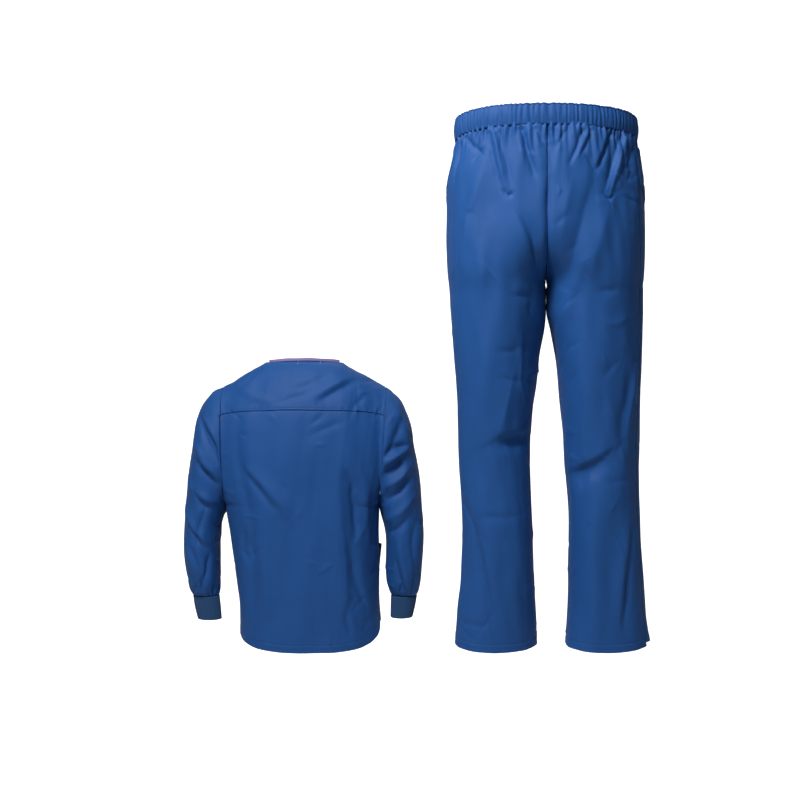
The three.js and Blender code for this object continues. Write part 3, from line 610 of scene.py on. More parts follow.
@dataclass
class Workroom:
    """Turns nets and rows of stitches into pieces that stand for the frame's nodes."""

    stitch_rings: tuple[Place, ...] = ((0.12, 0.55), (0.42, 1.0), (0.12, 0.55))
    stitch_turns: int = 5
    materials: dict[str, bpy.types.Material] = field(default_factory=dict)

    def prepare(self, finishes: Sequence[Finish]) -> None:
        """Makes the materials of all the finishes."""
        weave, dye = weave_group(), dye_group()
        for finish in finishes:
            self.materials[finish.name] = finish.material(weave, dye)

    def piece(self, name: str, net: Net, finish: Finish, node: str, place: Array,
              thickness: float = CLOTH_THICKNESS) -> bpy.types.Object:
        """Makes a piece of cloth with a real thickness and lengths as its map.

        Args:
            name: the piece's name.
            net: its outer points in mm, from the garment's own middle.
            finish: what it is made of.
            node: the node of the frame that it stands for.
            place: the garment's middle in mm.
            thickness: of the cloth, in mm.

        Returns:
            The piece, riding on the root.
        """
        rows, columns = net.points.shape[:2]
        cells = columns if net.closed else columns - 1
        row, column = np.meshgrid(np.arange(rows - 1), np.arange(cells), indexing="ij")
        after = (column + 1) % columns
        corners = ((row, column), (row + 1, column), (row + 1, after), (row, after))
        faces = np.stack([r * columns + c for r, c in corners], axis=-1).reshape(-1, 4)
        mesh = bpy.data.meshes.new(name)
        mesh.from_pydata(((net.points + place) * METRE).reshape(-1, 3).tolist(), [], faces.tolist())
        seam = np.linalg.norm(net.points[:, 0] - net.points[:, -1], axis=-1)
        whole = net.over[:, -1] + (seam if net.closed else 0.0)
        lengths = []
        for i, (r, c) in enumerate(corners):
            over = net.over[r, c]
            if net.closed and i >= 2:
                over = np.where(c == 0, whole[r], over)
            lengths.append(np.stack([over, -net.down[r, c]], axis=-1))
        layer = mesh.uv_layers.new(name="lengths")
        layer.data.foreach_set("uv", (np.stack(lengths, axis=2).reshape(-1) * METRE).astype(np.float32))
        mesh.polygons.foreach_set("use_smooth", np.ones(len(faces), dtype=bool))
        piece = self._object(name, mesh, finish)
        solid = piece.modifiers.new("cloth", "SOLIDIFY")
        solid.thickness = thickness * METRE
        solid.offset = -1.0
        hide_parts(node)
        return piece

    def stitches(self, name: str, lines: Sequence[Line], finish: Finish, place: Array,
                 pitch: float = 3.0, length: float = 2.2, radius: float = 0.24) -> bpy.types.Object:
        """Makes rows of stitches as one piece.

        Args:
            name: the piece's name.
            lines: for each row its points in mm and the way out of the cloth at each.
            finish: the thread.
            place: the garment's middle in mm.
            pitch: from one stitch to the next.
            length: of a stitch.
            radius: of the thread.

        Returns:
            The piece, riding on the root.
        """
        rings, turns = len(self.stitch_rings), self.stitch_turns
        verts, faces = [], []
        for points, outs in lines:
            way = np.concatenate([[0.0], np.cumsum(np.linalg.norm(np.diff(points, axis=0), axis=1))])
            middles = np.arange(pitch, way[-1] - pitch, pitch)
            if not len(middles):
                continue
            at = [np.stack([np.interp(middles + step, way, points[:, k]) for k in range(3)], axis=1)
                  for step in (-length / 2, 0.0, length / 2)]
            out = unit(np.stack([np.interp(middles, way, outs[:, k]) for k in range(3)], axis=1))
            across = unit(np.cross(unit(at[2] - at[0]), out))
            for ring, (lift, thick) in enumerate(self.stitch_rings):
                for turn in range(turns):
                    angle = 2 * math.pi * turn / turns
                    verts.append(at[ring] + out * (lift * radius + thick * radius * math.sin(angle))
                                 + across * thick * radius * math.cos(angle))
            count = len(middles)
            base = sum(len(v) for v in verts[:-rings * turns])
            index = base + np.arange(rings * turns * count).reshape(rings, turns, count)
            after = np.roll(index, -1, axis=1)
            for ring in range(rings - 1):
                for turn in range(turns):
                    quad = (index[ring, turn], after[ring, turn],
                            after[ring + 1, turn], index[ring + 1, turn])
                    faces += np.stack(quad, axis=1).tolist()
            faces += index[0, ::-1].T.tolist()
            faces += index[-1].T.tolist()
        mesh = bpy.data.meshes.new(name)
        mesh.from_pydata(((np.concatenate(verts) + place) * METRE).tolist(), [], faces)
        mesh.polygons.foreach_set("use_smooth", np.ones(len(mesh.polygons), dtype=bool))
        return self._object(name, mesh, finish)

    def _object(self, name: str, mesh: bpy.types.Mesh, finish: Finish) -> bpy.types.Object:
        """An object with its finish and body."""
        mesh.update()
        mesh.materials.append(self.materials[finish.name])
        piece = bpy.data.objects.new(name, mesh)
        bpy.context.scene.collection.objects.link(piece)
        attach(piece, "root")
        log.info("%s: %d points, %.4f square metres", name, len(mesh.vertices),
                 sum(face.area for face in mesh.polygons))
        return piece


PANTS_SECTIONS = LevelTable("back front left_side left_inner right_inner right_side", (
    (-35, 115, 113, -179, 0, 0, 180),
    (-72, 119, 116, -184, 0, 0, 185),
    (-120, 124, 118, -194, 0, 0, 193),
    (-216, 128, 118, -197, 0, 0, 197),
    (-287, 119, 112, -195, -1, 1, 195),
    (-335, 109, 103, -191, 0, 0, 193),
    (-365, 105, 100.5, -190, 0, 0, 193),
    (-383, 103, 99, -189, -0.5, 1.5, 193),
    (-411, 100.5, 97.5, -187.5, -4, 9, 192),
    (-454, 97, 95, -185, -12, 17, 190),
    (-526, 92, 92, -179, -20, 26, 187),
    (-598, 86, 88, -175, -30, 32, 185),
    (-669, 81, 86, -173, -33, 36, 185),
    (-741, 79, 84, -169, -31, 42, 185),
    (-813, 77, 82, -165, -28, 44, 189),
    (-884, 76, 81, -167, -24, 44, 193),
    (-956, 75, 80, -173, -21, 42, 197),
    (-1040, 75, 79, -180, -19, 37, 206),
))

SOFT, FIRM, SHARP = Crest.SOFT, Crest.FIRM, Crest.SHARP
FRONT = Face.FRONT

PANTS_FOLDS = (
    # Gathers that run on from the waistband
    Fold(((-60, -40), (-50, -80), (-38, -124)), -5.5, 7, 4, FIRM, full_start=True),
    Fold(((-52, -44), (-38, -90), (-28, -122)), 2.6, 7, 16, SHARP, full_start=True),
    Fold(((-66, -44), (-60, -80), (-56, -112)), 2.0, 12, 5, SHARP, full_start=True),
    Fold(((-112, -42), (-102, -100), (-89, -162)), 3.4, 8, 5, SHARP, full_start=True),
    Fold(((-120, -44), (-112, -100), (-100, -150)), -2.6, 6, 5, FIRM, full_start=True),
    Fold(((-104, -46), (-92, -100), (-78, -150)), -2.2, 5, 8, FIRM, full_start=True),
    Fold(((-99, -152), (-90, -167)), -2.6, 3, 4, FIRM),
    Fold(((-79, -160), (-90, -167)), -2.6, 3, 4, FIRM),
    Fold(((140, -48), (124, -105), (106, -164)), 3.0, 3, 10, SHARP, full_start=True),
    Fold(((131, -50), (114, -105), (97, -156)), -2.8, 8, 3, FIRM, full_start=True),
    Fold(((149, -60), (134, -110), (118, -150)), -1.4, 4, 7, FIRM, full_start=True),
    Fold(((95, -165), (106, -170), (117, -160)), -2.6, 3, 4, FIRM),
    Fold(((112, -41), (98, -80), (82, -116)), -4.0, 4, 5, FIRM, full_start=True),
    Fold(((104, -44), (88, -86), (74, -112)), 2.2, 14, 5, SHARP, full_start=True),
    Fold(((58, -86), (80, -117)), -2.6, 5, 4, FIRM),
    Fold(((54, -42), (42, -75), (28, -106)), -3.2, 4, 5, FIRM, full_start=True),
    Fold(((72, -41), (60, -70), (48, -92)), -2.6, 4, 5, FIRM, full_start=True),
    Fold(((66, -42), (50, -76), (38, -100)), 2.0, 6, 7, SHARP, full_start=True),
    Fold(((-35, -40), (-16, -72)), -2.4, 4, 4, FIRM, full_start=True),
    Fold(((20, -44), (2, -78)), -2.2, 4, 4, FIRM, full_start=True),
    Fold(((-162, -44), (-148, -72)), -2.6, 4, 4, FIRM, full_start=True),
    Fold(((-150, -60), (-132, -84)), -2.0, 4, 4, FIRM),
    Fold(((-128, -68), (-150, -92)), -2.0, 4, 4, FIRM),
    Fold(((-174, -52), (-178, -96)), -3.2, 5, 5, FIRM, full_start=True),
    Fold(((160, -62), (150, -92), (158, -120)), -2.2, 5, 5, FIRM, full_start=True),
    Fold(((136, -100), (154, -103)), -2.2, 3, 5, FIRM),
    # Seat and crotch
    Fold(((-132, -118), (-162, -208), (-178, -288)), 2.8, 16, 9, SHARP),
    Fold(((-108, -150), (-118, -240), (-112, -330)), -2.4, 22, 22),
    Fold(((-92, -168), (-62, -222), (-34, -290), (-18, -350)), 3.8, 26, 9, SHARP),
    Fold(((-60, -200), (-42, -244), (-28, -310)), -6.0, 10, 17, FIRM),
    Fold(((74, -140), (58, -190), (42, -250), (28, -320)), -5.0, 17, 18, FIRM),
    Fold(((36, -130), (20, -190), (10, -250)), 2.2, 12, 12, FIRM),
    Fold(((110, -170), (84, -250), (64, -340)), 2.6, 18, 20, FIRM),
    Fold(((26, -200), (4, -216), (-6, -218)), -1.6, 5, 8, FIRM),
    Fold(((10, -262), (30, -268), (44, -258)), -1.8, 5, 8, FIRM),
    Fold(((-10, -44), (-9, -118)), -1.6, 5, 5, FIRM, full_start=True),
    Fold(((-10, -108), (-9, -160), (-8, -225)), -2.6, 8, 9, SHARP),
    Fold(((-80, -351), (-36, -351)), -1.7, 9, 4, FIRM),
    Fold(((86, -343), (124, -339)), -1.7, 9, 4, FIRM),
    Fold(((-104, -457), (-66, -453)), -1.5, 8, 4, FIRM),
    Fold(((60, -280), (34, -350), (22, -420)), 2.6, 14, 12),
    # Left leg
    Fold(((-130, -360), (-122, -520), (-118, -640)), 2.2, 34, 34),
    Fold(((-58, -420), (-60, -512), (-45, -578)), 2.0, 14, 8, SHARP),
    Fold(((-72, -490), (-88, -560), (-103, -626)), 2.6, 8, 26, SHARP),
    Fold(((-107, -626), (-72, -622), (-40, -616)), -5.0, 28, 5, FIRM),
    Fold(((-107, -636), (-72, -632), (-40, -626)), -3.0, 14, 10),
    Fold(((-43, -658), (-34, -678)), -3.2, 6, 6, FIRM),
    Fold(((-148, -640), (-128, -700), (-98, -760)), -2.4, 18, 20),
    Fold(((-169, -748), (-150, -786), (-132, -880), (-112, -990)), -4.2, 8, 16, FIRM),
    Fold(((-160, -750), (-138, -800), (-120, -880), (-100, -980)), 3.2, 8, 26),
    Fold(((-140, -775), (-60, -772)), -1.2, 10, 5, FIRM),
    Fold(((-60, -690), (-66, -840), (-60, -1000)), 2.2, 18, 22),
    # Right leg
    Fold(((70, -380), (66, -520), (64, -650)), 2.2, 26, 30),
    Fold(((168, -484), (151, -592), (152, -618)), 3.2, 10, 9, FIRM),
    Fold(((158, -500), (138, -590), (132, -660)), -2.2, 12, 12),
    Fold(((130, -634), (144, -674)), 2.4, 7, 7, FIRM),
    Fold(((40, -692), (80, -672), (118, -647)), -5.0, 30, 5, FIRM),
    Fold(((44, -706), (80, -686), (112, -664)), -2.6, 14, 12),
    Fold(((162, -796), (150, -900), (143, -985)), -3.0, 6, 8, FIRM),
    Fold(((154, -780), (140, -890), (132, -990)), 2.6, 14, 6),
    Fold(((86, -720), (80, -860), (86, -1010)), 2.6, 20, 24),
    Fold(((118, -720), (112, -860), (112, -1000)), -2.4, 18, 18),
    # Front, which the photograph doesn't show
    Fold(((62, -42), (50, -110), (36, -190)), -4.5, 8, 12, FIRM, FRONT, True),
    Fold(((-66, -42), (-54, -120), (-38, -200)), -4.5, 12, 8, FIRM, FRONT, True),
    Fold(((98, -44), (90, -120), (76, -180)), 3.4, 9, 8, FIRM, FRONT, True),
    Fold(((-104, -44), (-92, -110), (-80, -170)), 3.4, 8, 9, FIRM, FRONT, True),
    Fold(((26, -42), (18, -100)), -3.0, 5, 5, FIRM, FRONT, True),
    Fold(((-30, -42), (-20, -104)), -3.0, 5, 5, FIRM, FRONT, True),
    Fold(((128, -240), (70, -290), (22, -322)), -5.0, 15, 12, FIRM, FRONT),
    Fold(((-130, -236), (-70, -286), (-24, -318)), -5.0, 12, 15, FIRM, FRONT),
    Fold(((110, -300), (56, -338), (26, -350)), 3.0, 12, 12, FIRM, FRONT),
    Fold(((-112, -296), (-60, -334), (-24, -348)), 3.0, 12, 12, FIRM, FRONT),
    Fold(((0, -150), (0, -240), (0, -325)), -5.5, 10, 10, FIRM, FRONT),
    Fold(((-140, -690), (-100, -712), (-60, -730)), -4.5, 24, 6, FIRM, FRONT),
    Fold(((62, -676), (108, -702), (150, -724)), -5.0, 24, 6, FIRM, FRONT),
    Fold(((-120, -380), (-112, -560), (-104, -680)), 2.8, 26, 26, SOFT, FRONT),
    Fold(((104, -380), (108, -560), (112, -670)), 2.8, 26, 26, SOFT, FRONT),
    Fold(((-96, -740), (-84, -880), (-92, -1010)), 3.0, 20, 22, SOFT, FRONT),
    Fold(((112, -740), (124, -880), (118, -1010)), 3.0, 22, 20, SOFT, FRONT),
    Fold(((-150, -800), (-140, -900), (-146, -1000)), -3.0, 12, 12, FIRM, FRONT),
    Fold(((164, -780), (150, -890), (158, -1000)), -3.0, 12, 12, FIRM, FRONT),
)

BODY_SECTIONS = LevelTable("left right back front", (
    (0, -189.5, 181.5, 90, 84),
    (-67, -189.5, 181.5, 104, 98),
    (-120, -189.5, 181.5, 114, 112),
    (-165, -189.5, 181.5, 120, 122),
    (-230, -189.5, 181.5, 126, 130),
    (-341, -189.5, 181.5, 124, 129),
    (-410, -181, 179, 121, 127),
    (-472, -173, 181, 119, 126),
    (-531, -166, 181, 118, 126),
    (-589, -158, 182, 118, 127),
    (-690, -155, 192, 118, 128),
))

BODY_FOLDS = (
    Fold(((122, -46), (84, -66), (44, -94)), -2.8, 5, 12, FIRM),
    Fold(((110, -42), (70, -60), (30, -84)), 2.2, 12, 8, FIRM),
    Fold(((60, -30), (20, -52), (-30, -70)), -1.3, 8, 8, FIRM),
    Fold(((40, -62), (-10, -84), (-60, -98)), -1.2, 8, 8, FIRM),
    Fold(((-150, -62), (-110, -84), (-60, -100)), 1.4, 12, 12),
    Fold(((150, -80), (128, -104)), -1.6, 5, 8, FIRM),
    Fold(((50, -124), (24, -150)), -1.4, 5, 5, FIRM),
    Fold(((100, -140), (60, -156), (20, -176)), -1.0, 8, 8),
    Fold(((-125, -252), (-84, -292), (-50, -330), (-28, -368)), 3.4, 9, 20, FIRM),
    Fold(((-132, -262), (-96, -300), (-62, -345)), -2.2, 8, 8),
    Fold(((-152, -150), (-146, -250), (-128, -330), (-112, -400)), -2.6, 14, 16),
    Fold(((-112, -396), (-120, -430), (-112, -470)), -3.2, 8, 10, FIRM),
    Fold(((-113, -460), (-115, -540), (-112, -616)), -2.6, 10, 22),
    Fold(((-136, -400), (-138, -450), (-122, -478)), -2.4, 7, 12, FIRM),
    Fold(((-96, -440), (-92, -540), (-98, -640)), 2.4, 18, 24),
    Fold(((90, -233), (92, -380), (104, -540), (128, -676)), 3.0, 26, 12, FIRM),
    Fold(((112, -262), (122, -300), (128, -345), (130, -410)), -5.2, 12, 8, FIRM),
    Fold(((140, -240), (150, -330), (158, -430)), 2.6, 12, 14),
    Fold(((112, -430), (132, -520), (150, -580)), -3.6, 14, 10, FIRM),
    Fold(((118, -560), (108, -600), (116, -650)), -2.2, 9, 9),
    Fold(((10, -420), (16, -540), (6, -660)), 1.8, 26, 30),
    Fold(((-60, -560), (-70, -620), (-64, -670)), -1.6, 16, 16),
    Fold(((30, -200), (36, -300), (30, -400)), -1.6, 26, 26),
    Fold(((-20, -150), (-26, -250), (-20, -330)), 1.4, 26, 26),
    Fold(((110, -380), (104, -520), (96, -660)), -4.0, 16, 18, FIRM, FRONT),
    Fold(((-104, -360), (-112, -500), (-120, -650)), -4.0, 18, 16, FIRM, FRONT),
    Fold(((150, -240), (104, -288), (60, -334)), -4.0, 8, 14, FIRM, FRONT),
    Fold(((-150, -236), (-108, -290), (-66, -334)), -4.0, 14, 8, FIRM, FRONT),
    Fold(((148, -140), (126, -220), (104, -300)), 3.0, 12, 12, SOFT, FRONT),
    Fold(((-148, -140), (-128, -220), (-104, -300)), 3.0, 12, 12, SOFT, FRONT),
    Fold(((40, -220), (30, -380), (36, -560)), 2.6, 26, 26, SOFT, FRONT),
    Fold(((-36, -240), (-30, -400), (-40, -600)), 2.2, 26, 26, SOFT, FRONT),
    Fold(((110, -90), (76, -130), (52, -170)), -2.2, 8, 8, FIRM, FRONT),
    Fold(((-112, -92), (-80, -132), (-56, -168)), -2.2, 8, 8, FIRM, FRONT),
)


def sleeve_table(*rows: tuple[float, ...]) -> LevelTable:
    """A sleeve's sections from the shoulder to the cuff, at levels 0, -1, -2 and so on."""
    levels = [(-i, *row) for i, row in enumerate(rows)]
    return LevelTable("outer_x outer_z inner_x inner_z half", levels)


SLEEVE_SECTIONS = {
    Side.RIGHT: sleeve_table(
        (198, -59, 181.5, -341, 88), (217, -71, 182.2, -346, 87), (236, -92, 183, -351, 85),
        (250, -121, 184, -357, 82), (261, -159, 186, -365, 78), (269, -205, 188.5, -375, 74),
        (277, -252, 192, -388, 71), (282.5, -299, 195, -404, 69), (285, -346, 197.5, -423, 67),
        (288, -390, 198, -443, 66), (289, -430, 198, -463, 64), (288, -466, 198, -485, 61),
        (286, -498, 198.5, -508, 57), (284, -528, 201, -532, 52), (280, -550, 206, -551, 44),
        (274, -566, 210, -566, 33)),
    Side.LEFT: sleeve_table(
        (198, -59, 189.5, -341, 88), (219, -70, 190, -346, 87), (239, -89, 191, -351, 85),
        (255, -115, 192, -357, 82), (266, -150, 194.5, -365, 78), (273, -199, 198, -375, 74),
        (279, -250, 202, -388, 71), (284, -297, 205, -404, 69), (288, -344, 207, -423, 67),
        (291, -389, 207, -443, 66), (292.5, -430, 207, -463, 64), (292, -466, 207, -485, 61),
        (288, -498, 206.5, -508, 57), (283, -528, 206, -532, 52), (279, -550, 206.5, -551, 44),
        (272, -566, 208, -566, 33)),
}
CUFF_SECTIONS = {
    Side.RIGHT: LevelTable("outer inner half", (
        (-566.3, 273.5, 210.5, 32), (-592, 269, 209.5, 29), (-620, 262, 209, 26))),
    Side.LEFT: LevelTable("outer inner half", (
        (-566.3, 271.5, 208.5, 32), (-594, 267, 205, 29), (-624, 259, 202, 26))),
}

# Sleeve folds, with x counted outward from the middle of the body on both sides
SLEEVE_FOLDS = {
    Side.LEFT: (
        Fold(((252, -130), (222, -186), (192, -244)), -6.5, 14, 9, FIRM),
        Fold(((240, -126), (212, -176), (190, -214)), 3.6, 9, 9, FIRM),
        Fold(((236, -166), (208, -196), (186, -224)), -3.6, 5, 6, FIRM),
        Fold(((262, -190), (232, -240), (200, -280)), 4.2, 12, 10, FIRM),
        Fold(((250, -240), (226, -270), (202, -290)), -3.6, 7, 8, FIRM),
        Fold(((278, -280), (250, -318), (206, -338)), 3.4, 10, 12, FIRM),
        Fold(((262, -300), (240, -340), (214, -352)), -3.8, 8, 8, FIRM),
        Fold(((284, -350), (262, -400), (222, -440)), 3.4, 12, 10, FIRM),
        Fold(((276, -380), (254, -420), (232, -450)), -3.2, 7, 7, FIRM),
        Fold(((232, -350), (248, -400), (252, -440)), -2.4, 6, 6, FIRM),
        Fold(((286, -420), (268, -470), (238, -520)), 2.6, 10, 9, FIRM),
        Fold(((270, -440), (250, -490), (236, -530)), -2.6, 7, 7, FIRM),
        Fold(((224, -460), (232, -510), (246, -548)), -2.6, 6, 6, FIRM),
        Fold(((272, -500), (262, -540), (258, -560)), -2.2, 5, 5, FIRM),
        Fold(((244, -520), (240, -560)), -2.0, 4, 4, FIRM),
        Fold(((250, -180), (222, -260), (200, -330)), -4.0, 12, 12, FIRM, FRONT),
        Fold(((276, -300), (244, -360), (214, -400)), 4.0, 12, 12, FIRM, FRONT),
        Fold(((280, -360), (250, -420), (220, -450)), -4.0, 10, 10, FIRM, FRONT),
        Fold(((226, -420), (244, -480), (262, -530)), -3.0, 8, 8, FIRM, FRONT),
    ),
    Side.RIGHT: (
        Fold(((192, -226), (218, -204), (250, -200)), -5.0, 9, 7, FIRM),
        Fold(((190, -244), (222, -226), (250, -206)), 4.4, 9, 7, FIRM),
        Fold(((194, -266), (222, -254), (244, -226)), -6.0, 13, 8, FIRM),
        Fold(((196, -300), (228, -280), (256, -250)), 3.8, 12, 10, FIRM),
        Fold(((198, -330), (232, -312), (262, -280)), -3.8, 9, 9, FIRM),
        Fold(((240, -130), (226, -170), (206, -210)), -2.6, 10, 10),
        Fold(((216, -104), (240, -150), (252, -196)), 2.6, 12, 12),
        Fold(((200, -380), (236, -360), (270, -320)), 3.0, 12, 12, FIRM),
        Fold(((204, -410), (230, -396), (252, -372)), -2.6, 8, 8, FIRM),
        Fold(((272, -380), (262, -440), (268, -500)), -2.4, 9, 9, FIRM),
        Fold(((232, -430), (238, -490), (250, -540)), 2.4, 12, 10),
        Fold(((222, -470), (232, -520), (244, -556)), -2.4, 6, 6, FIRM),
        Fold(((270, -510), (262, -545), (258, -560)), -2.2, 5, 5, FIRM),
        Fold(((236, -530), (232, -560)), -1.8, 4, 4, FIRM),
        Fold(((252, -180), (222, -250), (196, -320)), -4.0, 12, 12, FIRM, FRONT),
        Fold(((272, -290), (240, -350), (208, -392)), 4.0, 12, 12, FIRM, FRONT),
        Fold(((276, -350), (246, -410), (214, -446)), -4.0, 10, 10, FIRM, FRONT),
        Fold(((222, -410), (242, -470), (258, -524)), -3.0, 8, 8, FIRM, FRONT),
    ),
}


@dataclass
class Pants:
    """Straight pants with a gathered elastic waist, filled out and open. Sizes in mm."""

    room: Workroom
    place: Array = field(default_factory=lambda: np.zeros(3))
    band_height: float = 39.0
    band_rise: float = 10.0
    seam: float = 0.3
    overlap: float = 1.2
    roundness: float = 0.9
    seat_seam_start: float = -165.0
    crotch: float = -327.0
    hems: dict[Face, float] = field(default_factory=lambda: {Face.BACK: -1037.0, Face.FRONT: -1030.0})
    hem_fold: float = 15.0
    hem_side_rise: float = 6.0
    last_straight_level: float = -980.0
    twist: float = 0.1
    seam_angle: dict[Side, float] = field(default_factory=lambda: {Side.LEFT: 0.06, Side.RIGHT: 0.46})
    drape_seed: int = 5
    gather_seed: int = 11
    pucker_seed: int = 23
    gather_length: float = 150.0
    quarter: float = 250.0
    gathered_length: float = 150.0
    pitch_down: Place = (2.4, 4.6)
    pitch_across: dict[Face, float] = field(default_factory=lambda: {Face.BACK: 2.3, Face.FRONT: 3.0})
    waist_half: float = 181.0
    waist_depth: float = 114.0
    valley_height: float = 5.4
    shoulder_height: float = 2.6
    fold_limits: Place = (-11.0, 9.0)
    seat_seam_depth: float = 5.0
    parting_start: float = -150.0
    parting_end: float = -420.0
    parting_reach: float = 34.0
    band_columns: int = 620
    band_thickness: float = 2.6
    band_bulge: float = 2.4
    pocket_width: float = 78.0
    pocket_height: float = 92.0
    pocket_hem: float = 12.0
    pocket_turns: Place = (0.975, 0.66)
    pocket_top: float = -60.0
    pocket_bottom: Place = (-134.0, -34.0)
    pocket_lift: float = 1.5

    def __post_init__(self) -> None:
        """Places the waist's gathers: uneven in distance, depth, width and length."""
        random = np.random.default_rng(self.gather_seed)
        places, turn = [], 0.0
        while turn < 2 * math.pi - 0.05:
            places.append(turn)
            turn += random.uniform(0.045, 0.1)
        count = len(places)
        self.gather_turns = np.array(places) - math.pi
        self.gather_depths = random.uniform(0.35, 1.0, count)
        self.gather_widths = random.uniform(1.6, 3.4, count)
        lengths = random.uniform(16, 62, count)
        self.gather_lengths = lengths * np.where(random.random(count) > 0.7, 1.9, 1.0)
        self.gather_slants = random.uniform(-0.1, 0.1, count)

    def point(self, side: Side, face: Face, turn: Array, level: Array) -> Array:
        """Points of one leg before it is folded.

        Args:
            side: the leg.
            face: its back or front panel.
            turn: 0 at the centre seam or inner leg, 1 at the side seam.
            level: height below the waist.

        Returns:
            Points, in the shape of turn and level with x, y, z last.
        """
        side_line = np.abs(PANTS_SECTIONS.at(level, f"{side.word}_side"))
        inner_line = PANTS_SECTIONS.at(level, f"{side.word}_inner")
        fall = np.clip((self.seat_seam_start - level) / (self.seat_seam_start - self.crotch), 0, 1)
        split = ease(fall)
        inner = np.abs(inner_line) * fall
        centre = mix(0.0, (side_line + inner) / 2, split)
        half = side_line - centre
        start = np.arccos(np.clip((centre - inner) / half, 0, 1))
        angle = mix(start, math.pi + face.value * self.seam_angle[side], turn)
        cos, sin = np.cos(angle), np.sin(angle)
        depth = self.section_depth(face.value * sin, level)
        x = centre - half * np.sign(cos) * np.abs(cos) ** mix(self.roundness, 1.0, split)
        y = face.value * np.sign(sin) * depth * np.abs(sin) ** self.roundness
        x = side.value * np.maximum(x, inner) + self.twist * y
        fade = ease(1 + (level + self.band_height) / self.gather_length)
        back = np.clip(-y / PANTS_SECTIONS.at(-self.band_height, "back"), 0, 1)
        rise = self.band_rise * back ** (1 / self.roundness)
        return np.stack([x, y, level + rise * fade], axis=-1)

    @staticmethod
    def section_depth(facing: Array, level: Array) -> Array:
        """Half the depth at a level: the back's where facing is negative, else the front's."""
        back, front = (PANTS_SECTIONS.at(level, face.word) for face in Face)
        return np.where(facing < 0, back, front)

    def off_middle(self, points: Array) -> Array:
        """Distance of points to the right of the centre seams' twisted middle."""
        return points[..., 0] - self.twist * points[..., 1]

    def base_net(self, side: Side, face: Face) -> Net:
        """The net of a leg panel before it is folded."""
        top = -(self.band_height + self.seam)
        length = top - self.hems[face]
        fine, coarse = self.pitch_down
        rest = length - self.gathered_length
        lower = self.gathered_length + spaced(rest, coarse, (rest - self.hem_fold, rest))
        downs = np.concatenate([spaced(self.gathered_length, fine, (0.0,)), lower[1:]])
        turns = spaced(self.quarter, self.pitch_across[face], (0.0, self.quarter)) / self.quarter
        if (side is Side.LEFT) == (face is Face.BACK):
            turns = turns[::-1]
        turn, down = np.meshgrid(turns, downs)
        points = self.point(side, face, turn, top - down)
        straight = self.last_straight_level
        share = np.clip((straight - (top - down)) / (straight - self.hems[face]), 0, 1)
        points[..., 2] += share * self.hem_side_rise * (1 - np.sin(turn * math.pi))
        return self.level_at_seat(Net(points), face)

    def level_at_seat(self, net: Net, face: Face) -> Net:
        """The net with its way out straight back or front beside the seat seam.

        Both panels go in and out side by side there, so that their seam doesn't open.
        """
        share = self.beside_seat_seam(net, -150.0, 25.0, 14.0)
        net.outs = unit(mix(net.outs, np.array([0.0, face.value, 0.0]), share[..., None]))
        return net

    def beside_seat_seam(self, net: Net, start: float, length: float, reach: float) -> Array:
        """1 at the seat seam above the crotch, fading to its sides and above its start."""
        aside, level = np.abs(self.off_middle(net.points)), net.points[..., 2]
        above = ease((start - level) / length) * ease((level - self.crotch) / 12.0)
        return above * ridge(aside, reach)

    def gathers(self, points: Array) -> Array:
        """The small gathers below the band: narrow valleys that widen and fade downwards.

        A low shoulder stands on each side of a valley.
        """
        depth = self.waist_depth
        turn = np.arctan2(points[..., 1] / depth, self.off_middle(points) / self.waist_half)
        reach = self.waist_reach(turn)
        down = -self.band_height + 8.0 * np.clip(-points[..., 1] / depth, 0, 1) - points[..., 2]
        total = np.zeros(turn.shape)
        for place, height, wide, long, slant in zip(
                self.gather_turns, self.gather_depths, self.gather_widths, self.gather_lengths,
                self.gather_slants):
            across = np.abs(wrapped(turn - place) * reach - slant * down)
            spread = wide * (1 + 1.3 * np.clip(down / long, 0, 1.5))
            fade = height * np.exp(-np.clip(down / long, 0, None) ** 1.6)
            total -= self.valley_height * fade * ridge(across, spread, 1.15)
            total += self.shoulder_height * fade * ridge(across - 2.1 * spread, spread)
        return total

    def waist_reach(self, turn: Array) -> Array:
        """How far the waist's line runs for a small turn about its middle."""
        return np.hypot(self.waist_half * np.sin(turn), self.waist_depth * np.cos(turn))

    def build(self) -> None:
        """Makes the band, the legs, the hip pockets and their stitching."""
        bases = {(side, face): self.base_net(side, face) for side in Side for face in Face}
        self.drape = Drape(list(bases.values()), PANTS_FOLDS, self.drape_seed, unevenness=1.0,
                           creases=120)
        lines: list[Line] = []
        for (side, face), base in bases.items():
            net = self.folded(base)
            hem = turned_hem(net, self.hem_fold)
            dips = seam_dip(net.to_sides(), 1.3) * (0.35 + 0.65 * self.away_from_crotch(base))
            dips -= self.seat_seam_depth * self.beside_seat_seam(base, -120.0, 60.0, 5.0)
            net = self.kept_apart(net.push(hem + dips + seam_dip(net.down, 0.8, 2.2)), side)
            lines.append(net.row_line(-self.hem_fold))
            net = net.turned_in(3.0, "lr").tucked_up(TUCK_HEIGHT, TUCK_DEPTH)
            piece = self.room.piece(f"{side.word}_{face.word}_leg", self.kept_apart(net, side), CLOTH,
                                    f"pants_{face.word}_{side.word}", self.place)
        self.band(lines)
        for side in Side:
            self.hip_pocket(side, lines)
        self.room.stitches("pants_stitching", lines, THREAD, self.place)

    def kept_apart(self, net: Net, side: Side) -> Net:
        """The net with every point on its own leg's side of the middle."""
        middle = self.twist * net.points[..., 1]
        clear = np.maximum(side.value * (net.points[..., 0] - middle), -self.overlap)
        net.points[..., 0] = middle + side.value * clear
        return net

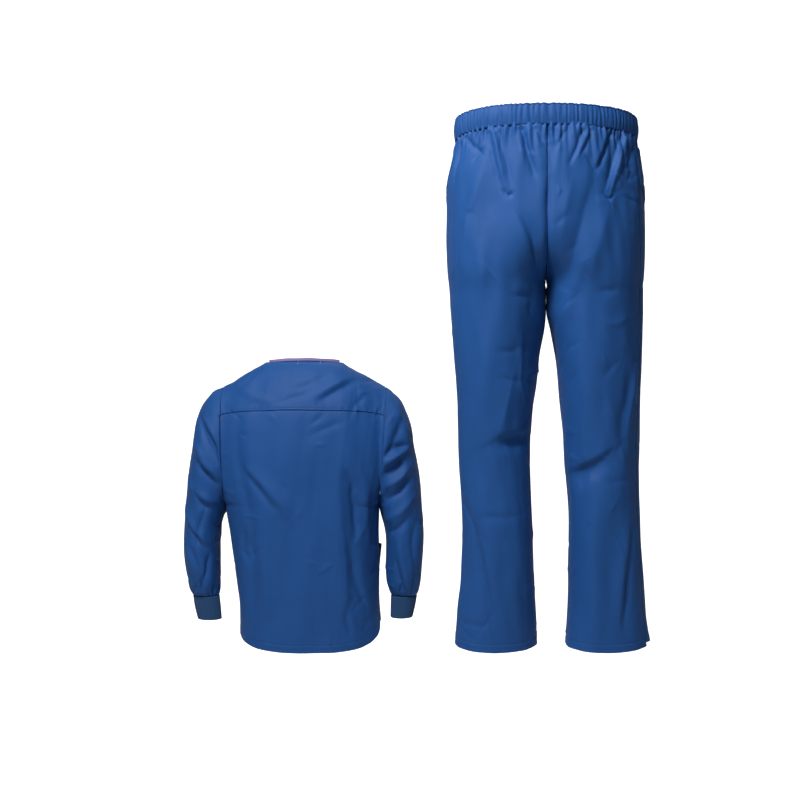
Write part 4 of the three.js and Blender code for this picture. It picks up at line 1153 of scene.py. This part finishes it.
    def folded(self, base: Net) -> Net:
        """A net with its folds and gathers."""
        rise = (self.drape.rise(base) + self.gathers(base.points)) * self.away_from_crotch(base)
        return base.push(np.clip(rise, *self.fold_limits))

    def away_from_crotch(self, base: Net) -> Array:
        """1 over most of the cloth and 0 at the centre seam where the legs part."""
        aside, level = np.abs(self.off_middle(base.points)), base.points[..., 2]
        zone = ease((self.parting_start - level) / 110.0) * ease((level - self.parting_end) / 60.0)
        return 1 - zone * (1 - ease(aside / self.parting_reach))

    def band(self, lines: list[Line]) -> None:
        """The elastic casing: a folded strip, drawn up into uneven upright puckers."""
        turn = np.linspace(-math.pi, math.pi, self.band_columns, endpoint=False)
        profile = [(0.9, 0.010), (0.35, -0.004)]
        profile += [(0.0, down) for down in 0.02 + 0.965 * np.linspace(0.0, 1.0, 17)]
        profile += [(0.4, 1.0), (1.3, 1.004)]
        inset, down = (np.array(column)[:, None] for column in zip(*profile))
        cos, sin = np.cos(turn)[None, :], np.sin(turn)[None, :]
        pucker, shift = self.puckers(turn, down)
        edge_calm = ease(down * 9) * ease((1 - down) * 9) * 0.35 + 0.65
        bulge = self.band_bulge * np.sin(math.pi * np.clip(down, 0, 1)) + pucker * edge_calm - inset
        depth = self.section_depth(sin, -self.band_height)
        half = PANTS_SECTIONS.at(-self.band_height, "right_side")
        x = (half + bulge) * np.sign(cos) * np.abs(cos) ** self.roundness
        y = (depth + bulge) * np.sign(sin) * np.abs(sin) ** self.roundness
        high = np.maximum(0, -sin)
        arch = mix(1.15 * np.sqrt(high), high, np.clip(down, 0, 1))
        z = -self.band_height * down + self.band_rise * arch + shift[None, :] * (1 - down)
        net = Net(np.stack([x + self.twist * y, y, z], axis=-1), closed=True)
        piece = self.room.piece("elastic_waistband", net, CLOTH, "pants_waistband", self.place,
                                self.band_thickness)
        lines.append(net.row_line(-3.0))

    def puckers(self, turn: Array, down: Array) -> Line:
        """The band's upright puckers, uneven in place, width, lean, height and length.

        Returns:
            How far they move the band out, and how far its upper edge goes up.
        """
        random = np.random.default_rng(self.pucker_seed)
        pucker = np.zeros((len(down), len(turn)))
        shift = np.zeros(len(turn))
        place = -math.pi
        while place < math.pi:
            reach = self.waist_reach(place)
            wide = random.uniform(1.2, 2.9)
            lean = random.uniform(-4.5, 4.5)
            height = random.uniform(0.6, 2.0)
            middle, spread = random.uniform(0.2, 0.8), random.uniform(0.35, 1.2)
            gap = wrapped(turn - place) * reach
            across = np.abs(gap[None, :] - lean * (down - 0.5))
            tall = height * ridge(down - middle, spread)
            pucker += tall * (0.45 * ridge(across - 2.0 * wide, wide) - ridge(across, wide, 1.6))
            shift -= 0.8 * height * ridge(gap, 1.4 * wide)
            place += random.uniform(6.0, 13.5) / reach
        return pucker, shift

    def hip_pocket(self, side: Side, lines: list[Line]) -> None:
        """A hip pocket on the front, from the side seam, with a slanting lower edge."""
        wide, tall, hem = self.pocket_width, self.pocket_height, self.pocket_hem
        across = spaced(wide, 3.0, (0.0, wide)) / wide
        downs = spaced(tall, 3.4, (0.0, hem, tall)) / tall
        share, down = np.meshgrid(across if side is Side.RIGHT else across[::-1], downs)
        bottom, slant = self.pocket_bottom
        level = mix(self.pocket_top, bottom + slant * share, down)
        net = self.folded(Net(self.point(side, Face.FRONT, mix(*self.pocket_turns, share), level)))
        net = net.push(self.pocket_lift + pocket_grooves(net, hem))
        lines += pocket_lines(net, hem)
        piece = self.room.piece(f"{side.word}_hip_pocket", net.turned_in(1.2, "tblr"), CLOTH,
                                f"pants_hip_pocket_{side.word}", self.place)


@dataclass
class Top:
    """A long-sleeved top with a back yoke, rib cuffs and patch pockets. Sizes in mm."""

    room: Workroom
    place: Array = field(default_factory=lambda: np.array([-523.0, 500.0, -459.0]))
    shoulder_half: float = 198.0
    shoulder_drop: float = 59.0
    neck_half: float = 93.0
    back_neck_rise: float = 4.5
    v_neck_drop: float = 150.0
    underarm: float = -341.0
    armhole_half_depth: float = 88.0
    roll_end: float = -165.0
    yoke_middle: float = -114.0
    yoke_side: float = -129.0
    hem_middle: dict[Face, float] = field(
        default_factory=lambda: {Face.BACK: -683.0, Face.FRONT: -668.0})
    hem_side: dict[Side, float] = field(
        default_factory=lambda: {Side.LEFT: -645.0, Side.RIGHT: -621.0})
    hem_fold: float = 17.0
    half_girth: float = 500.0
    pitch: float = 3.9
    fold_limits: Place = (-9.0, 7.0)
    drape_seed: int = 17
    sleeve_seed: int = 31
    sleeve_gather_seed: int = 41
    yoke_length: float = 130.0
    upper_length: float = 225.0
    lower_length: float = 335.0
    seam_depth: float = 1.8
    pocket_width: float = 170.0
    pocket_height: float = 150.0
    pocket_hem: float = 22.0
    pocket_across: Place = (0.156, 0.862)
    pocket_levels: Place = (-447.0, -606.0)
    pocket_lift: dict[Side, float] = field(default_factory=lambda: {Side.LEFT: 4.0, Side.RIGHT: 12.0})
    sleeve_length: float = 560.0
    sleeve_columns: int = 132
    sleeve_gathers: int = 21
    cuff_ribs: int = 46
    cuff_columns: int = 276
    arm_gap: float = 0.3
    tack_places: Place = (-12.0, 41.0)

    def __post_init__(self) -> None:
        """Works out the armhole's middle and the start of the shoulder's roll."""
        self.arm_middle = (self.underarm - self.shoulder_drop) / 2
        self.arm_half = (-self.underarm - self.shoulder_drop) / 2
        self.roll_angle = math.acos((self.roll_end - self.arm_middle) / self.arm_half)
        self.neck_column = 2 / math.pi * math.asin(self.neck_half / self.shoulder_half)

    def top_line(self, x: Array) -> Array:
        """Height of the shoulder line; it is level inside the neck."""
        outside = (np.abs(x) - self.neck_half) / (self.shoulder_half - self.neck_half)
        return -self.shoulder_drop * np.maximum(0.0, outside)

    def armhole_depth(self, level: Array) -> Array:
        """Half the depth of the armhole at a level."""
        share = (level - self.arm_middle) / self.arm_half
        return self.armhole_half_depth * np.sqrt(np.maximum(0, 1 - share ** 2))

    def side_distance(self, across: Array, level: Array) -> Array:
        """Distance of the side seam or armhole from the middle."""
        low = np.minimum(level, self.underarm)
        left, right = (np.abs(BODY_SECTIONS.at(low, side.word)) for side in Side)
        side = np.where(across < 0, left, right)
        share = np.clip((level - self.underarm) / (-self.shoulder_drop - self.underarm), 0, 1)
        return mix(side, self.shoulder_half, share)

    def depth(self, spread: Array, face: Face, level: Array) -> Array:
        """Half-depth of the body at a share of its half-width."""
        full = BODY_SECTIONS.at(level, face.word)
        flat = np.maximum(0, 1 - np.abs(spread) ** 2.5) ** (1 / 2.3)
        return full * flat + self.armhole_depth(level) * (1 - flat) ** 2

    def point(self, across: Array, face: Face, level: Array) -> Array:
        """Points of the body before it is folded.

        Args:
            across: -1 at the left side or armhole, 1 at the right.
            face: its back or front.
            level: height below the middle of the neck.

        Returns:
            Points, with x, y, z last.
        """
        spread = np.sin(across * math.pi / 2)
        x = self.side_distance(across, level) * spread
        low = face.value * self.depth(spread, face, level)
        neck = np.clip(1 - (x / self.neck_half) ** 2, 0, 1)
        start = -8.0 * ease((self.shoulder_half - np.abs(x)) / 60.0)
        if face is Face.BACK:
            start = start - 30.0 * neck
        line = self.top_line(x)
        down = np.clip((line - level) / (line - self.roll_end), 0, 1)
        roll = np.sin(np.arccos(1 - down * (1 - math.cos(self.roll_angle)))) / math.sin(self.roll_angle)
        end = face.value * self.depth(spread, face, np.full_like(level, self.roll_end))
        high = mix(start, end, roll)
        return np.stack([x, np.where(level <= self.roll_end, low, high), level], axis=-1)

    def columns(self) -> Array:
        """Places across the body, with one at each end of the neck."""
        neck = self.neck_column * self.half_girth / 2
        rest = self.half_girth / 2 - neck
        inside = spaced(2 * neck, self.pitch) - neck
        outside = neck + spaced(rest, self.pitch, (rest,))[1:]
        return np.concatenate([-outside[::-1], inside, outside]) * 2 / self.half_girth

    def yoke_seam(self, across: Array) -> Array:
        """Height of the yoke's seam."""
        return mix(self.yoke_middle, self.yoke_side, np.abs(across) ** 2)

    def hem(self, across: Array, face: Face) -> Array:
        """Height of the curved hem."""
        side = np.where(across < 0, self.hem_side[Side.LEFT], self.hem_side[Side.RIGHT])
        return mix(self.hem_middle[face], side, np.abs(across) ** np.where(across < 0, 2.2, 3.5))

    def neck_or_shoulder(self, across: Array, in_neck: Callable[[Array], Array]) -> Array:
        """Height of a panel's upper edge: what in_neck gives at x inside the neck, else the shoulder."""
        x = self.shoulder_half * np.sin(across * math.pi / 2)
        return np.where(np.abs(across) < self.neck_column, in_neck(x), self.top_line(x))

    def back_neck(self, x: Array) -> Array:
        """Height of the back neck's edge."""
        return self.back_neck_rise * (1 - (x / self.neck_half) ** 2)

    def v_neck(self, x: Array) -> Array:
        """Height of the V neck's edge."""
        return -self.v_neck_drop * np.maximum(0, 1 - np.abs(x) / self.neck_half) ** 0.92

    def yoke_net(self) -> Net:
        """The back yoke before it is folded."""
        length = self.yoke_length
        downs = spaced(length, 3.4, (0.0, length - 4.0, length)) / length
        across, share = np.meshgrid(self.columns(), downs)
        edge = self.neck_or_shoulder(across, self.back_neck)
        return Net(self.point(across, Face.BACK, mix(edge, self.yoke_seam(across) + 0.15, share)))

    def panel_net(self, face: Face) -> Net:
        """The back below the yoke, or the whole front with its V neck, before it is folded."""
        across = self.columns()
        if face is Face.BACK:
            edge = self.yoke_seam(across) - 0.15
        else:
            edge = self.neck_or_shoulder(across, self.v_neck)
        upper = spaced(self.upper_length, self.pitch, (0.0,)) / self.upper_length
        length = self.lower_length
        lower = spaced(length, self.pitch, (length - self.hem_fold, length)) / length
        rows = [mix(edge, self.underarm, u) for u in upper]
        rows += [mix(self.underarm, self.hem(across, face), u) for u in lower[1:]]
        level = np.array(rows)
        points = self.point(np.broadcast_to(across, level.shape), face, level)
        return Net(points if face is Face.BACK else points[:, ::-1])

    def folded(self, base: Net, drape: Drape) -> Net:
        """A net of the body with its folds, which end at the armholes."""
        side, level = np.abs(base.points[..., 0]), base.points[..., 2]
        below_arm = np.clip((self.underarm - level) / 60.0, 0, 1)
        calm = ease((self.shoulder_half - side) / 26.0 + below_arm) * ease(-level / 20.0 + 0.3)
        return base.push(np.clip(drape.rise(base) * calm, *self.fold_limits))

    def seam_puckers(self, net: Net) -> Array:
        """Small uneven waves of the yoke along its sewn lower edge."""
        over, below = net.over, net.from_bottom()
        wave = np.sin(over * 0.52 + 1.3 * np.sin(over * 0.11)) + 0.6 * np.sin(over * 0.31 + 2.0)
        return 0.6 * wave * np.exp(-(below / 9.0) ** 1.5) * ease(below / 2.5)

    def build(self) -> None:
        """Makes the body, tape, sleeves, cuffs, pockets and their stitching."""
        yoke, back, front = self.yoke_net(), self.panel_net(Face.BACK), self.panel_net(Face.FRONT)
        drape = Drape((yoke, back, front), BODY_FOLDS, self.drape_seed, unevenness=0.9, creases=70,
                      strength=2.2)
        lines: list[Line] = []
        self.yoke(self.folded(yoke, drape), lines)
        for face, base in ((Face.BACK, back), (Face.FRONT, front)):
            net = self.folded(base, drape)
            rise = turned_hem(net, self.hem_fold)
            rise += seam_dip(net.to_sides(), self.seam_depth) * facing_out(net)
            net = net.push(rise + seam_dip(net.down, 1.4, 1.8))
            lines.append(net.row_line(-self.hem_fold))
            net = net.turned_in(ALLOWANCE, "lr")
            if face is Face.BACK:
                net = net.tucked_up(TUCK_HEIGHT, TUCK_DEPTH)
            else:
                net = net.turned_in(ALLOWANCE, "t")
            piece = self.room.piece(f"top_{face.word}_panel", net, CLOTH, f"top_{face.word}", self.place)
        for side in Side:
            self.patch_pocket(side, drape, lines)
            self.sleeve(side)
            self.cuff(side)
        self.tape()
        self.room.stitches("top_stitching", lines, THREAD, self.place)

    def yoke(self, net: Net, lines: list[Line]) -> None:
        """The back yoke, sewn flat over the back with a row of stitches above its seam."""
        over_neck = np.abs(net.points[..., 0]) < self.neck_half + 4
        rise = 0.5 + np.where(over_neck, 0.3, seam_dip(net.down, 0.8, 1.4))
        rise += seam_dip(net.to_sides(), self.seam_depth) * facing_out(net)
        rise += sewn_groove(net.from_bottom() - 4.0) + self.seam_puckers(net)
        net = net.push(rise)
        lines.append(net.row_line(-4.0))
        piece = self.room.piece("back_yoke", net.turned_in(ALLOWANCE, "blr"), CLOTH, "top_back_yoke",
                                self.place)

    def patch_pocket(self, side: Side, drape: Drape, lines: list[Line]) -> None:
        """A patch pocket low on the front; its upper outer corner stands off a little."""
        wide, tall, hem = self.pocket_width, self.pocket_height, self.pocket_hem
        shares = spaced(wide, 3.6, (0.0, POCKET_MARGIN, wide - POCKET_MARGIN, wide)) / wide
        downs = spaced(tall, 3.6, (0.0, hem, tall - POCKET_MARGIN, tall)) / tall
        share, down = np.meshgrid(shares, downs)
        across = side.value * mix(*self.pocket_across, share)
        base = Net(self.point(across, Face.FRONT, mix(*self.pocket_levels, down)))
        if side is Side.RIGHT:
            base, share, down = Net(base.points[:, ::-1]), share[:, ::-1], down[:, ::-1]
        net = self.folded(base, drape)
        lift = self.pocket_lift[side] * (1 - down) ** 2 * share ** 2
        net = net.push(1.4 + lift + pocket_grooves(net, hem))
        lines += pocket_lines(net, hem)
        piece = self.room.piece(f"{side.word}_patch_pocket", net.turned_in(1.4, "tblr"), CLOTH,
                                f"top_pocket_{side.word}", self.place)

    def sleeve(self, side: Side) -> None:
        """A set-in sleeve, drawn in a little at the cuff."""
        table = SLEEVE_SECTIONS[side]
        last = len(table.levels) - 1
        length = self.sleeve_length
        share = spaced(length, self.pitch, (0.0, length)) / length
        turns = np.linspace(0, 2 * math.pi, self.sleeve_columns, endpoint=False)
        turn, along = np.meshgrid(turns, share)
        angle = turn * side.value
        level = -along * last
        outer, inner = ([table.at(level, f"{edge}_{axis}") for axis in "xz"]
                        for edge in ("outer", "inner"))
        x, z = ((a + b) / 2 + (a - b) / 2 * np.cos(angle) for a, b in zip(outer, inner))
        y = table.at(level, "half") * np.sin(angle)
        base = Net(np.stack([side.value * (x + self.arm_gap), y, z], axis=-1), closed=True)
        folds = [Fold(tuple((side.value * px, pz) for px, pz in f.line), f.height,
                      *((f.left, f.right) if side is Side.RIGHT else (f.right, f.left)), f.crest, f.face)
                 for f in SLEEVE_FOLDS[side]]
        drape = Drape((base,), folds, self.sleeve_seed + side.value, unevenness=1.0, creases=24,
                      strength=2.3)
        calm = ease(along * 12) * ease((1 - along) * 14)
        rise = np.clip(drape.rise(base) * calm, *self.fold_limits)
        random = np.random.default_rng(self.sleeve_gather_seed + side.value)
        near_cuff = ease((along - 0.86) / 0.1)
        near_cap = ridge(along, 0.05) * ease(along * 60)
        for zone, high in ((near_cuff, 1.9), (near_cap, 0.5)):
            for _ in range(self.sleeve_gathers):
                place = random.uniform(0, 2 * math.pi)
                gap = np.abs(wrapped(turn - place)) * base.points[..., 1].max() * 0.7
                height = high * random.uniform(0.3, 1.0)
                rise -= zone * height * ridge(gap, random.uniform(2, 5), 1.6)
        net = base.push(rise + seam_dip(base.down, self.seam_depth) * facing_out(base)
                        + seam_dip(base.from_bottom(), 1.6, 2.0))
        piece = self.room.piece(f"{side.word}_sleeve", net.turned_in(ALLOWANCE, "tb"), CLOTH,
                                f"top_sleeve_{side.word}", self.place)

    def cuff(self, side: Side) -> None:
        """A doubled rib-knit cuff."""
        table = CUFF_SECTIONS[side]
        turns = np.linspace(0, 2 * math.pi, self.cuff_columns, endpoint=False)
        top, bottom = table.levels[0], table.levels[-1]
        outside = [(0.0, s) for s in np.linspace(0.0, 0.975, 16)]
        profile = outside + [(0.35, 0.995), (1.1, 1.003), (1.8, 0.99), (2.1, 0.93)]
        inset, share = (np.array(column)[:, None] for column in zip(*profile))
        level = mix(top, bottom, share) + np.zeros_like(turns)[None, :]
        angle = (turns * side.value)[None, :]
        rib = 0.42 * np.cos(self.cuff_ribs * turns)[None, :] * (inset < 1)
        wave = 0.5 * np.sin(3 * turns + 1.0)[None, :] + 0.35 * np.sin(7 * turns)[None, :]
        out = rib + wave * share - inset
        half = (table.at(level, "outer") - table.at(level, "inner")) / 2 + out
        centre = (table.at(level, "outer") + table.at(level, "inner")) / 2
        x = side.value * (centre + self.arm_gap + half * np.cos(angle))
        y = (table.at(level, "half") + out) * np.sin(angle)
        net = Net(np.stack([x, y, level], axis=-1), closed=True)
        piece = self.room.piece(f"{side.word}_cuff", net, RIB, f"top_cuff_{side.word}", self.place, 1.2)

    def tape(self) -> None:
        """The tape inside the back neck, with its end standing past the seam, and two bar tacks."""
        share = np.linspace(-0.93, 0.93, 150)
        x = self.neck_half * share

        def edge(place: Array) -> Array:
            """The neck's edge at x."""
            across = np.arcsin(place / self.side_distance(place, np.zeros_like(place))) * 2 / math.pi
            return self.point(across, Face.BACK, self.back_neck(place))

        line = edge(x)
        way = edge(x + 0.5) - edge(x - 0.5)
        inward = unit(np.stack([-way[:, 1], way[:, 0], np.zeros_like(x)], axis=-1))
        rows = []
        for up in (6.0, 5.4, 4.0, 2.0, 0.0, -2.0, -3.0):
            row = line + inward * 1.5
            row[:, 2] += up + 0.35 * np.sin(x / 9.0)
            rows.append(row)
        net = Net(np.array(rows))
        piece = self.room.piece("neck_tape", net, TAPE, "top_neck_tape", self.place, 0.9)
        tacks = []
        drop = np.linspace(1.0, 11.0, 9)
        out = unit(np.array([[0.0, -1.0, 0.8]] * len(drop)))
        for middle in self.tack_places:
            across = np.full_like(drop, math.asin(middle / self.shoulder_half) * 2 / math.pi)
            level = edge(np.full_like(drop, middle))[:, 2] - drop
            tacks.append((self.point(across, Face.BACK, level) + out * 0.7, out))
        self.room.stitches("neck_bar_tacks", tacks, TACK, self.place, pitch=1.1, length=1.5, radius=0.55)


@dataclass
class Studio:
    """The pale floor, the soft lights and the camera. Places in metres.

    sweep_glow is how bright the backdrop is, more to the camera than it gives as light.
    """

    floor: float = -1.45
    back: float = 3.2
    camera: tuple[float, float, float] = (-0.2905, -2.2, -0.55)
    lens: float = 49.75
    sensor: float = 36.0
    aim: tuple[float, float, float] = (-0.25, 0.15, -0.55)
    sweep_radius: float = 1.4
    sweep_half: float = 7.0
    sweep_front: float = -6.0
    sweep_height: float = 5.0
    sweep_glow: Place = (1.0, 0.06)
    world_light: float = 0.09

    def build(self) -> None:
        """Sets up everything that isn't part of the object."""
        self.backdrop()
        self.light("key", (-0.95, -1.3, 1.35), 0.7, 84.0)
        self.light("fill", (2.0, -2.6, 0.2), 2.4, 6.0)
        self.light("rim", (0.2, 2.2, 2.2), 2.0, 20.0)
        world = bpy.data.worlds.new("studio")
        world.use_nodes = True
        world.node_tree.nodes["Background"].inputs["Color"].default_value = (1.0, 1.0, 1.0, 1.0)
        world.node_tree.nodes["Background"].inputs["Strength"].default_value = self.world_light
        scene = bpy.context.scene
        scene.world = world
        scene.view_settings.view_transform = "Standard"
        data = bpy.data.cameras.new("camera")
        data.lens = self.lens
        data.sensor_width = self.sensor
        camera = bpy.data.objects.new("camera", data)
        camera.location = self.camera
        camera.rotation_euler = (math.pi / 2, 0.0, 0.0)
        scene.collection.objects.link(camera)
        scene.camera = camera

    def backdrop(self) -> None:
        """A floor that rises behind in one smooth curve."""
        radius, half = self.sweep_radius, self.sweep_half
        profile = [(self.sweep_front, 0.0), (self.back - radius, 0.0)]
        profile += [(self.back - radius + radius * math.sin(a), radius - radius * math.cos(a))
                    for a in np.linspace(0, math.pi / 2, 24)[1:]]
        profile.append((self.back, self.sweep_height))
        verts = [(x, y, self.floor + z) for y, z in profile for x in (-half, half)]
        faces = [(2 * i, 2 * i + 1, 2 * i + 3, 2 * i + 2) for i in range(len(profile) - 1)]
        mesh = bpy.data.meshes.new("backdrop")
        mesh.from_pydata(verts, [], faces)
        mesh.polygons.foreach_set("use_smooth", np.ones(len(faces), dtype=bool))
        material = bpy.data.materials.new("backdrop")
        material.use_nodes = True
        shader = material.node_tree.nodes["Principled BSDF"]
        shader.inputs["Base Color"].default_value = (0.6, 0.6, 0.6, 1.0)
        shader.inputs["Roughness"].default_value = 1.0
        shader.inputs["Emission Color"].default_value = (1.0, 1.0, 1.0, 1.0)
        wiring = Wiring(material.node_tree)
        seen = wiring.node("ShaderNodeLightPath").outputs["Is Camera Ray"]
        glow = wiring.math("MULTIPLY_ADD", seen, *self.sweep_glow)
        wiring.join(glow, shader.inputs["Emission Strength"])
        mesh.materials.append(material)
        sweep = bpy.data.objects.new("backdrop", mesh)
        bpy.context.scene.collection.objects.link(sweep)

    def light(self, name: str, place: tuple[float, float, float], size: float, power: float) -> None:
        """A large soft lamp that faces the garments."""
        data = bpy.data.lights.new(name, "AREA")
        data.size = size
        data.energy = power
        lamp = bpy.data.objects.new(name, data)
        lamp.location = place
        aim = np.array(self.aim) - np.array(place)
        level = math.hypot(aim[0], aim[1])
        lamp.rotation_euler = (math.atan2(level, -aim[2]), 0.0, math.atan2(aim[0], -aim[1]) + math.pi)
        bpy.context.scene.collection.objects.link(lamp)


def main() -> None:
    """Builds the studio and both garments, and reports each piece."""
    logging.basicConfig(level=logging.INFO, format="%(message)s")
    Studio().build()
    room = Workroom()
    room.prepare((CLOTH, RIB, TAPE, THREAD, TACK))
    Pants(room).build()
    Top(room).build()


if __name__ == "__main__":
    main()
